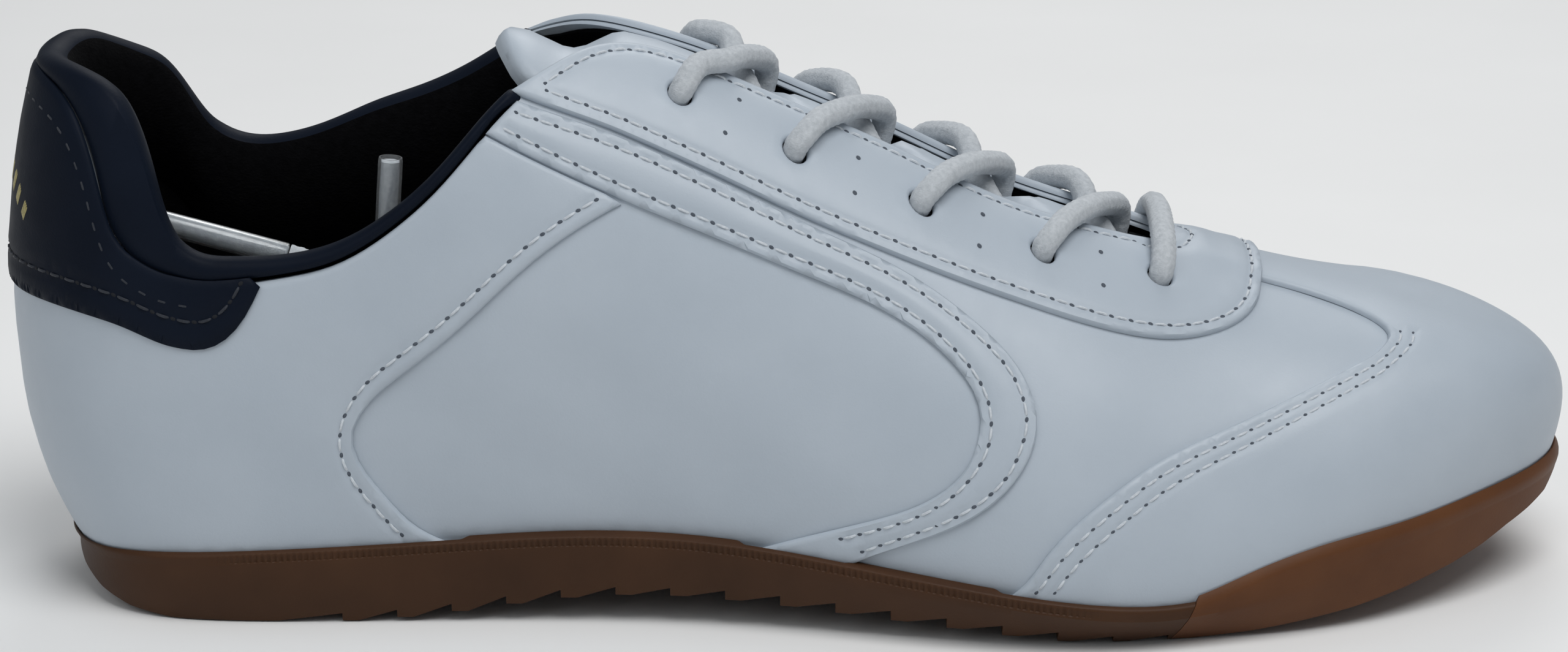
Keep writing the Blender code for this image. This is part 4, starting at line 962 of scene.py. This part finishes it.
def stripes_and_quarters():
    stripe_end = [p for p in beside(stripe_inner, 0.3)
                  if p[0] < QUARTER_EDGE[0][0] - 1.2 and p[1] < 40]
    for side, word in SIDES:
        outline = joined(mirrored(stripe_outer, side), mirrored(stripe_inner[::-1], side))
        rows = [mirrored(row, side) for row in STRIPE_ROWS]
        panel("stripe_leather_" + word, [WHITE], "white_leather", ("side_stripe_" + word,),
              outline, PLY_GAP, LEATHER, grooves=rows, pitch=2.2, radius=0.9)
        stitches("stripe_stitching_" + word, [(row, LEATHER) for row in rows], THREAD_WHITE,
                 HOLE_SHADE)
        top = [p for p in collar_line(side) if p[0] < stripe_end[0][0] - 0.8]
        outline = joined(heel_fan(side), sole_edge(HEEL_POLE, 88, side),
                         mirrored(quarter_edge[::-1], side), mirrored(stripe_end[::-1], side),
                         top[::-1], back_seam(side, top[0][0]))
        row = mirrored(QUARTER_ROW, side)
        panel("rear_quarter_leather_" + word, [WHITE], "white_leather",
              ("rear_quarter_" + word,), outline, PLY_GAP, LEATHER, grooves=[row],
              relief=(36, 0.12))
        stitches("rear_quarter_stitching_" + word, [(row, LEATHER)], THREAD_WHITE, HOLE_SHADE)


PERFORATIONS = [(139, 13.5), (136.7, 21), (160.8, 16), (160.3, 23.2), (183.6, 16.2),
                (182.9, 23.1), (205.4, 15.5), (205.4, 22.8)]


MARK_BARS = (-17, -13, -9, -5, -1, 3, 7, 11, 15)


def eyestay_low(x, y):
    return PLY_GAP + eyestay_lift(x, y)


def eyestay_high(x, y):
    return 1.35 + eyestay_lift(x, y)


def eyestay():
    outline = joined(mirrored(eyestay_edge, LATERAL), eyestay_edge[::-1], throat()[::-1])
    rows = both(EYESTAY_ROW) + both(THROAT_ROW) + both(FRONT_ROW)
    panel("eyestay_leather", BACKED, "white_leather", ("eyestay",), outline, eyestay_low,
          eyestay_high, round_holes(2.3), grooves=rows, pitch=2.2, radius=1.0,
          relief=(30, 0.10))
    stitches("eyestay_stitching", [(row, eyestay_high) for row in rows], THREAD_WHITE,
             HOLE_SHADE)
    # the perforations are dark discs: painted shade in the holes
    turns = np.linspace(0, 2 * math.pi, 12, endpoint=False)
    dots = [loft([upper(x + r * np.cos(turns), side * y + r * np.sin(turns), np.full(12, height))
                  for height, r in ((0.9, 0.30), (1.42, 0.42), (1.48, 0.28))])
            for side in BOTH for x, y in PERFORATIONS]
    piece("eyestay_perforations_painted_shade", *gathered(dots), [HOLE_SHADE], "white_leather")


def heel_patch():
    seam = {side: [p for p in collar_line(side, -0.2) if p[0] < 54] for side in BOTH}
    outline = joined(seam[LATERAL][:0:-1], seam[MEDIAL][1:], patch_edge,
                     mirrored(patch_edge[::-1], LATERAL))
    rows = both([p for p in PATCH_ROW if p[0] < 52])
    panel("heel_patch_leather", [NAVY], "navy_leather", ("heel_patch",), outline,
          LEATHER + PLY_GAP, PATCH_HEIGHT, grooves=rows, pitch=2.2, radius=0.9,
          relief=(26, 0.10))
    seam_rows = [beside(collar_line(side, 0.5), side * 1.7) for side in BOTH]
    seam_rows = [[p for p in row if p[0] < 43][2:] for row in seam_rows]
    for name, found in (("heel_patch_stitching", rows), ("collar_seam_stitching", seam_rows)):
        stitches(name, [(row, PATCH_HEIGHT) for row in found], THREAD_NAVY, NAVY_HOLE_SHADE,
                 slot="navy_leather")
    bars = []
    for y in MARK_BARS:
        for aside in (-0.55, -0.18, 0.18, 0.55):
            ends = [lowered(COLLAR_BACK[0], y + aside + lean, depth - 0.01 * y * y)
                    for lean, depth in ((-1.6, 17.0), (0.0, 21.0), (1.6, 25.0))]
            bars.append((flow(ends, 1.0), PATCH_HEIGHT))
    stitches("heel_patch_marks", bars, THREAD_GOLD, NAVY_HOLE_SHADE, slot="navy_leather", pitch=20,
             length=8.6)


def linings():
    """Textile linings, against the leather."""
    rear = [(LINING_SPLIT, RIM), (LINING_SPLIT, 62), (LINING_SPLIT - 0.5, 52), (99.5, 46),
            (99.5, 22.5)]
    outline = joined(flow(mirrored(rear[::-1], LATERAL), 5),
                     sole_edge(LINING_SPLIT, TOE_POLE, LATERAL), toe_fan(),
                     sole_edge(TOE_POLE, LINING_SPLIT, MEDIAL), flow(rear, 5),
                     [p for p in beside(throat(), -1.6)[::-1] if p[0] > LINING_SPLIT + 1])
    panel("front_lining", [BLACK], "black_lining", ("vamp_lining",), outline, -1.9, -1.08,
          round_holes(3.2), pitch=4.2, radius=0.4, step=2.4)
    depth = COLLAR_DEPTH - 1.2
    tops = {side: [lowered(*row[:2], depth) for row in COLLAR[side]] for side in BOTH}
    line = [*tops[LATERAL][::-1], lowered(*COLLAR_BACK[:2], depth), *tops[MEDIAL]]
    end, y = LINING_SPLIT - 0.3, line[-1][1]
    outline = joined(flow(line, 3), flow([(end, y), (end, RIM)], 5),
                     sole_edge(end, HEEL_POLE, MEDIAL), heel_fan(MEDIAL)[::-1],
                     heel_fan(LATERAL), sole_edge(HEEL_POLE, end, LATERAL),
                     flow([(end, -RIM), (end, -y)], 5))
    panel("rear_lining", [BLACK], "black_lining", ("quarter_lining",), outline, -3.4, -2.5,
          pitch=4.2, radius=0.4, step=2.4)


# ---------------------------------------------------------------- padded collar
def lowered(x, y, depth):
    """The pattern point a depth in mm below another, down its rib."""
    away = np.array([min(x - HEEL_POLE, 0.0), y])
    away = away / np.linalg.norm(away)
    stride = np.linalg.norm(last(x + away[0], y + away[1]) - last(x, y))
    return (x + away[0] * depth / stride, y + away[1] * depth / stride)


COLLAR_PROFILE = [
    ("s", 1.0, -1.25, 1), ("s", 1.0, -0.2, 1), ("s", 1.0, 0.5, 1), ("s", 0.9, 1.1, 1),
    ("s", 0.7, 1.55, 0), ("s", 0.35, 1.75, 0), ("u", 0.3, 1.55, 0), ("u", 1.1, 0.8, 0),
    ("u", 1.65, -0.5, 0), ("u", 1.65, -2.1, 0), ("u", 1.0, -3.7, 0), ("u", -0.4, -5.0, 0),
    ("d", 2.0, -6.0, 0), ("d", 4.5, -6.9, 0), ("d", 7.5, -7.5, 0), ("d", 11.0, -7.6, 0),
    ("d", 15.0, -7.0, 0), ("d", 19.0, -5.7, 0), ("d", 22.5, -4.2, 0), ("d", 24.0, -3.5, 1),
    ("d", 24.0, -2.4, 1), ("b", 0.66, -1.9, 1), ("b", 0.33, -1.5, 1),
]
COLLAR_ROWS = 230
CLOTH_FRAMES = 20
CLOTH = {
    "vertex_group_mass": "pinned", "use_pressure": True, "tension_stiffness": 22,
    "compression_stiffness": 22, "shear_stiffness": 12, "bending_stiffness": 1.2, "quality": 5,
}
COLLAR_TUCK = 5.0                     # its ends run under the eyestay over this length
NAVY_ROWS = 10


def collar_points(row, tuck):
    """The collar's section at a row of its top line and seam, drawn in at its tucked ends."""
    top, seam = row[:2], row[2:]
    at_top = upper(*top, 0.0)
    normal = upper(*top, 1.0) - at_top
    up = unit(at_top - upper(*lowered(*top, 2.0), 0.0))
    points = []
    for zone, where, height, _ in COLLAR_PROFILE:
        if zone in "su":
            height = min(height, height * (1 - tuck) - 1.5 * tuck)
        if zone == "u":
            points.append(at_top + up * where * (1 - tuck) + normal * height)
            continue
        if zone == "s":
            spot = top * (1 - where) + seam * where
        elif zone == "b":
            spot = seam * (1 - where) + np.array(lowered(*top, COLLAR_DEPTH)) * where
        else:
            spot = lowered(*top, where)
        points.append(upper(*spot, height))
    return points


def inflate(obj, pinned, pressure, cap):
    """Swells a padded cover with a short cloth simulation, and keeps the result."""
    scene = bpy.context.scene
    group = obj.vertex_groups.new(name="pinned")
    group.add([int(i) for i in pinned], 1.0, "REPLACE")
    before = np.array([v.co for v in obj.data.vertices])
    modifier = obj.modifiers.new("cloth", "CLOTH")
    for key, value in CLOTH.items():
        setattr(modifier.settings, key, value)
    modifier.settings.uniform_pressure_force = pressure
    modifier.settings.effector_weights.gravity = 0
    modifier.collision_settings.use_collision = False
    modifier.point_cache.frame_start = 1
    modifier.point_cache.frame_end = CLOTH_FRAMES
    for step in range(1, CLOTH_FRAMES + 1):
        scene.frame_set(step)
    graph = bpy.context.evaluated_depsgraph_get()
    swollen = np.array([v.co for v in obj.evaluated_get(graph).data.vertices])
    obj.modifiers.remove(modifier)
    obj.vertex_groups.remove(group)
    move = swollen - before
    size = np.linalg.norm(move, axis=1, keepdims=True)
    move *= np.minimum(1.0, cap * METRES / np.maximum(size, 1e-9))
    obj.data.vertices.foreach_set("co", (before + move).ravel())
    obj.data.update()
    scene.frame_set(1)


def collar():
    """The padded collar: navy leather over the top, textile inside."""
    front = {side: (101.0, 20.4 * side, 102.5, 22.1 * side) for side in BOTH}
    rows = np.array([front[LATERAL], *COLLAR[LATERAL][::-1], COLLAR_BACK, *COLLAR[MEDIAL],
                     front[MEDIAL]], float)
    along = walked(rows[:, :2])
    spots = np.linspace(0, along[-1], COLLAR_ROWS)
    tucked = 1 - smooth(np.minimum(spots, spots[::-1]) / COLLAR_TUCK)
    sections = [collar_points(row, tuck) for row, tuck in zip(spline(along, rows)(spots), tucked)]
    points, faces = loft(sections)
    count = len(COLLAR_PROFILE)
    kinds = [0 if i < NAVY_ROWS else 1 for i in range(count)] * (COLLAR_ROWS - 1) + [0, 0]
    pad = piece("collar_pad", points, faces, [NAVY, BLACK], "navy_leather",
                ("collar", "collar_foam"), kinds=kinds)
    pinned = [r * count + i for r in range(COLLAR_ROWS) for i in range(count)
              if COLLAR_PROFILE[i][3] or r in (0, COLLAR_ROWS - 1)]
    inflate(pad, pinned, 3.0, 0.9)


# ---------------------------------------------------------------- tongue
TONGUE_ROOT = 226.0
TONGUE_TOP = 98.8
TONGUE_DEPTH = table([(90, -5.6), (104, -5.9), (118, -8.9), (160, -8.9), (198, -9.0),
                      (212, -8.9), (219, -6.8), (226, -4.4)])
TONGUE_HALF_WIDTH = [(TONGUE_ROOT, 10), (213, 12), (190, 15.5), (160, 17.5), (128, 18),
                     (112, 18), (104.8, 16.8), (101.4, 14.0), (TONGUE_TOP + 1, 9.6)]
TONGUE_PUFF = -1.2                     # height it swells to between the laces
LACE_PRESS = 2.45                      # how far below a lace's middle it is held


def tongue_top(x, y):
    """Height of the tongue's face: swollen in the throat, pressed down by the laces."""
    flat = TONGUE_DEPTH(x)
    share = smooth((x - 108) / 10) * (1 - smooth((x - 206) / 8)) * (1 - smooth((np.abs(y) - 9) / 7))
    puff = TONGUE_PUFF - 1.4 * smooth((np.abs(y) - 4.8) / 2)
    swollen = flat + (puff - flat) * share
    for side in BOTH:
        for lace_x, lace_y, lace_height in flow(crossed_half(side), 1.0):
            away = (x - lace_x) ** 2 + (y - lace_y) ** 2
            swollen = np.minimum(swollen, lace_height - LACE_PRESS + 0.16 * away)
    return np.maximum(swollen, flat)


def tongue_low(x, y):
    return TONGUE_DEPTH(x) - 4.5


def tongue():
    """The padded tongue: leather face, textile back."""
    edge = flow(TONGUE_HALF_WIDTH, 2.5)
    nose = flow([edge[-1], (TONGUE_TOP - 0.5, 0), (edge[-1][0], -edge[-1][1])], 2.5)
    outline = joined(edge, nose, mirrored(edge[::-1], LATERAL))
    rows = both([p for p in beside(edge, -2.4) if 105 < p[0] < 200])
    face = panel("tongue_pad", [WHITE, BLACK], "white_leather",
                 ("tongue", "tongue_foam", "tongue_lining"), outline, tongue_low, tongue_top,
                 grooves=rows, pitch=2.0, radius=2.6, start=0.35, body="tongue",
                 relief=(24, 0.16))
    stitches("tongue_stitching", [(row, tongue_top) for row in rows], THREAD_WHITE,
             HOLE_SHADE, body="tongue")


# ---------------------------------------------------------------- crossed lace
CROSSING = [(6.6, 8.2, -5.0, -5.2), (5.9, 5.9, -3.9, -4.8), (5.4, 4.9, -0.6, -4.2),
            (4.5, 3.6, 1.7, -3.7), (3.3, 1.8, 2.5, -3.1), (2.0, 0, 2.7, -2.2),
            (0.2, -2.6, 3.0, -1.2), (-1.2, -4.6, 3.3, 0.8), (-3.3, -7.6, 3.7, 3.5)]


def crossed_half(side):
    """The lace from the middle of the front bar to the top eyelet that it ends in."""
    x, y = EYELETS[0]
    route = [(x, side * 2.0, 4.3), (x, side * (y - 8), 4.1), (x, side * (y - 3.2), 3.5)]
    for (x, y), (next_x, next_y) in zip(EYELETS, EYELETS[1:]):
        over = side == MEDIAL
        middle = (x + next_x) / 2
        route += [(x, side * (y - 0.5), 1.9), (x, side * y, -0.9),
                  (x - 0.6, side * (y - 0.9), -3.6)]
        route.append((x - 3.5, side * (y - 4.8), -5.4))
        route += [(middle + ahead, side * across, above if over else below)
                  for ahead, across, above, below in CROSSING]
        route += [(next_x + 2.8, -side * (next_y - 5.2), 3.6),
                  (next_x + 0.9, -side * (next_y - 1.9), 3.2)]
        side = -side
    x, y = EYELETS[-1]
    route += [(x, side * y, 1.2), (x - 0.4, side * (y + 0.3), -2.2),
              (x - 1.6, side * (y + 2.4), -5.2)]
    return route + [(x - 4, side * (y + 6), -6.3), (x - 8, side * (y + 11), -6.2),
                    (x - 11.5, side * (y + 16), -6.2)]


def crossed_lace():
    route = np.array(crossed_half(LATERAL)[::-1] + crossed_half(MEDIAL))
    line = np.array(flow(upper(*route.T), LACE_STEP))
    holes = np.array([upper(x, side * y, -0.5) for side in BOTH for x, y in EYELETS])
    near = np.min([np.linalg.norm(line - hole, axis=1) for hole in holes], axis=0)
    radius = 2.42 - 0.22 * np.exp(-(near / 2.6) ** 2)
    ends = np.minimum(np.arange(len(line)), np.arange(len(line))[::-1]) * LACE_STEP
    radius = np.minimum(radius, 2.04 + 0.3 * smooth((ends - 12) / 10))
    piece("lace_braided", *tube_mesh(line, radius - 0.06, 32, BRAID), [LACE], "white_lace",
          ("lace_crossed",))


# ---------------------------------------------------------------- sole
SEAT = -3.2                            # height of the foot bed over the sole line
RIB_PITCH, RIB_DEPTH = 1.15, 0.34
BALL_END = 235.0                       # x where the flat under the ball ends
BUMPER_GAP = 0.12


def rim_inner(x):
    """The sole's edge hugs the base leather where no overlay reaches down to it."""
    bare = (smooth((x - 88) / 2) * (1 - smooth((x - 139) / 2))
            + smooth((x - 159) / 2) * (1 - smooth((x - 185.5) / 2)))
    return 1.24 - 1.19 * bare


def sole_block(rim_height, ribbed, fillet, count):
    """Points and faces of the sole with its upstanding edge, before the tread is cut."""
    stations = np.linspace(-6, 6, count + 1)[:-1]
    foot, out, row = sole_line(stations)
    inner = rim_inner(TOE_POLE - (np.abs(stations) - 1) / 4 * (TOE_POLE - HEEL_POLE))
    height = rim_height(foot[:, 0])
    span = 3 * row[:, 3]
    ribs = np.zeros(count)
    if ribbed:
        share = smooth((foot[:, 0] - 38) / 14) * (1 - smooth((foot[:, 0] - 196) / 14))
        turns = 2 * math.pi * walked(foot) / RIB_PITCH
        ribs = share * (0.5 + 0.5 * np.cos(turns)) * RIB_DEPTH

    def at(rise, stand):
        """A ring round the upper: its rise up the side, and how far it stands off."""
        climb = rise / span
        step = 1e-3
        along = rib(stations + step, climb) - rib(stations - step, climb)
        normal = unit(np.cross(along, rib(stations, climb + step) - rib(stations, climb - step)))
        return rib(stations, climb) + normal * stand[:, None]

    stand = 3.0 - 1.2 * (1 - smooth((foot[:, 0] - 13) / 28))
    lower_lip = at(np.minimum(0.45, height * 0.2), stand)
    side = lower_lip - (0, 0, 0.35)
    tread_top = foot + out * tread_edge(foot[:, 0])[:, None]
    tread_top[:, 2] = 0
    low = tread_top - out * 0.4
    low[:, 2] = -3.0
    wall = [tread_top * (1 - share) + side * share + out * 0.5 * math.sin(math.pi * share)
            for share in (0.0, 0.3, 0.6, 0.85)]
    corner = foot + out * 0.9 - (0, 0, 1.2)
    seat = foot + out * 0.5
    seat[:, 2] = sole_height(seat[:, 0]) + SEAT
    return loft([low, *wall, side, lower_lip,
                 at(np.minimum(0.6, height * 0.25), stand - ribs),
                 at(height - fillet, stand - 0.05 - ribs),
                 at(height - 0.62 * fillet, stand - 0.18 * fillet - 0.6 * ribs),
                 at(height - 0.27 * fillet, np.maximum(stand - 0.5 * fillet, inner + 0.6)),
                 at(height - 0.06 * fillet, np.maximum(stand - 0.85 * fillet, inner + 0.45)),
                 at(height, inner + 0.3), at(height - 0.25, inner), corner, seat])


def tread_profile():
    """The ground line: heel bevel, flat heel pad, then saw teeth to the ball."""
    line = table(TREAD_LINE)
    points = list(HEEL_BEVEL)
    tips = [HEEL_PAD[1]] + [66 + TREAD_PITCH * k for k in range(16)]
    for tip, after in zip(tips, tips[1:]):
        base, next_base = max(0.0, float(line(tip))), max(0.0, float(line(after)))
        rise = TREAD_STEP + max(0.0, next_base - base)
        points += [(tip, base), (tip + TREAD_LAND, base), (after - 0.01, base + rise)]
    return points + [(tips[-1], 0.0), (BALL_END, 0.0)]


def prism(profile, half_width=80.0):
    """Points and faces of a profile in x and z, run across the shoe."""
    count = len(profile)
    points = [(x, y, z) for y in (half_width, -half_width) for x, z in profile]
    faces = [tuple(range(count)), tuple(count + i for i in reversed(range(count)))]
    for i in range(count):
        j = (i + 1) % count
        faces.append((j, i, count + i, count + j))
    return points, faces


def cut(obj, profiles):
    """Takes prisms away from an object, for good."""
    for profile in profiles:
        tool = linked("cutter", mesh_of("cutter", *prism(profile)))
        boolean = obj.modifiers.new("cut", "BOOLEAN")
        boolean.operation = "DIFFERENCE"
        boolean.solver = "EXACT"
        boolean.object = tool
        graph = bpy.context.evaluated_depsgraph_get()
        mesh = bpy.data.meshes.new_from_object(obj.evaluated_get(graph))
        obj.modifiers.clear()
        obj.data = mesh
        bpy.data.objects.remove(tool)
    obj.data.shade_smooth()
    obj.data.set_sharp_from_angle(angle=math.radians(SOLE_SHARP))


def lip_height(x):
    return np.full_like(x, 2.2)


def sole():
    """The outsole and the toe bumper, which meet on a leaning joint."""
    tread = tread_profile()
    joint, lean = BUMPER_JOINT
    solid = sole_block(lip_height, True, 0.7, 2600)
    out = piece("outsole_moulded", *solid, [GUM], "gum_rubber", ("outsole",))
    cut(out, [[(-10, -20), *tread, (tread[-1][0], -20)][::-1],
              [(joint - 20 * lean, -20), (joint + 60 * lean, 60), (340, 60), (340, -20)]])
    # the bumper wears the lighter gum copy, with its painted light
    solid = sole_block(bumper_rim, False, 1.9, 900)
    front = piece("toe_bumper_moulded", *solid, [GUM_TOE_LIT], "gum_rubber", ("toe_bumper",))
    cut(front, [[(200, -30), (200, 0), *TOE_SPRING, (310, -30)][::-1],
                [(-20, -20), (-20, 60), (joint + 60 * lean + BUMPER_GAP, 60),
                 (joint - 20 * lean + BUMPER_GAP, -20)]])


def floor_and_light():
    mesh = bpy.data.meshes.new("floor")
    size = FLOOR_SIZE
    mesh.from_pydata([(-size, -size, 0), (size, -size, 0), (size, size, 0), (-size, size, 0)],
                     [], [(0, 1, 2, 3)])
    mesh.materials.append(surface("floor_paper", ((0.86, 0.86, 0.855), (0.88, 0.88, 0.875)),
                                  (0.3, 0.7), (12, 3), 0.9))
    ground = linked("floor", mesh)
    ground.location.z = -0.0003
    world = bpy.data.worlds.new("studio")
    bpy.context.scene.world = world
    world.use_nodes = True
    sky = world.node_tree.nodes["Background"]
    sky.inputs["Color"].default_value = (0.92, 0.96, 1.0, 1.0)
    sky.inputs["Strength"].default_value = WORLD_LIGHT
    for name, spot, aim, size, power, colour in LIGHTS:
        data = bpy.data.lights.new(name, "AREA")
        data.shape = "DISK"
        data.size = size
        data.energy = power
        data.color = colour
        lamp = linked(name, data)
        lamp.location = spot
        lamp.rotation_euler = (Vector(aim) - Vector(spot)).to_track_quat("-Z", "Y").to_euler()


FLOOR_SIZE = 3.0
WORLD_LIGHT = 0.235
LIGHTS = [
    ("key", (0.28, -0.50, 1.20), (0.02, 0, 0.04), 0.9, 10.5, (1.0, 1.0, 1.0)),
    ("fill", (-0.7, -0.8, 0.8), (0, 0, 0.05), 0.9, 2.2, (0.95, 0.98, 1.0)),
    ("back", (0.1, 0.9, 0.9), (0, 0, 0.05), 0.8, 4.2, (1.0, 1.0, 1.0)),
]

base_leather()
toe_cap()
stripes_and_quarters()
eyestay()
heel_patch()
linings()
collar()
tongue()
crossed_lace()
sole()
for node, obj in frame["nodes"].items():
    slot_name = next(row["material_slot"] for row in frame["record"]["subparts"]
                     if row["node"] == node)
    for entry in obj.material_slots:
        entry.material = HIDDEN[slot_name]
floor_and_light()
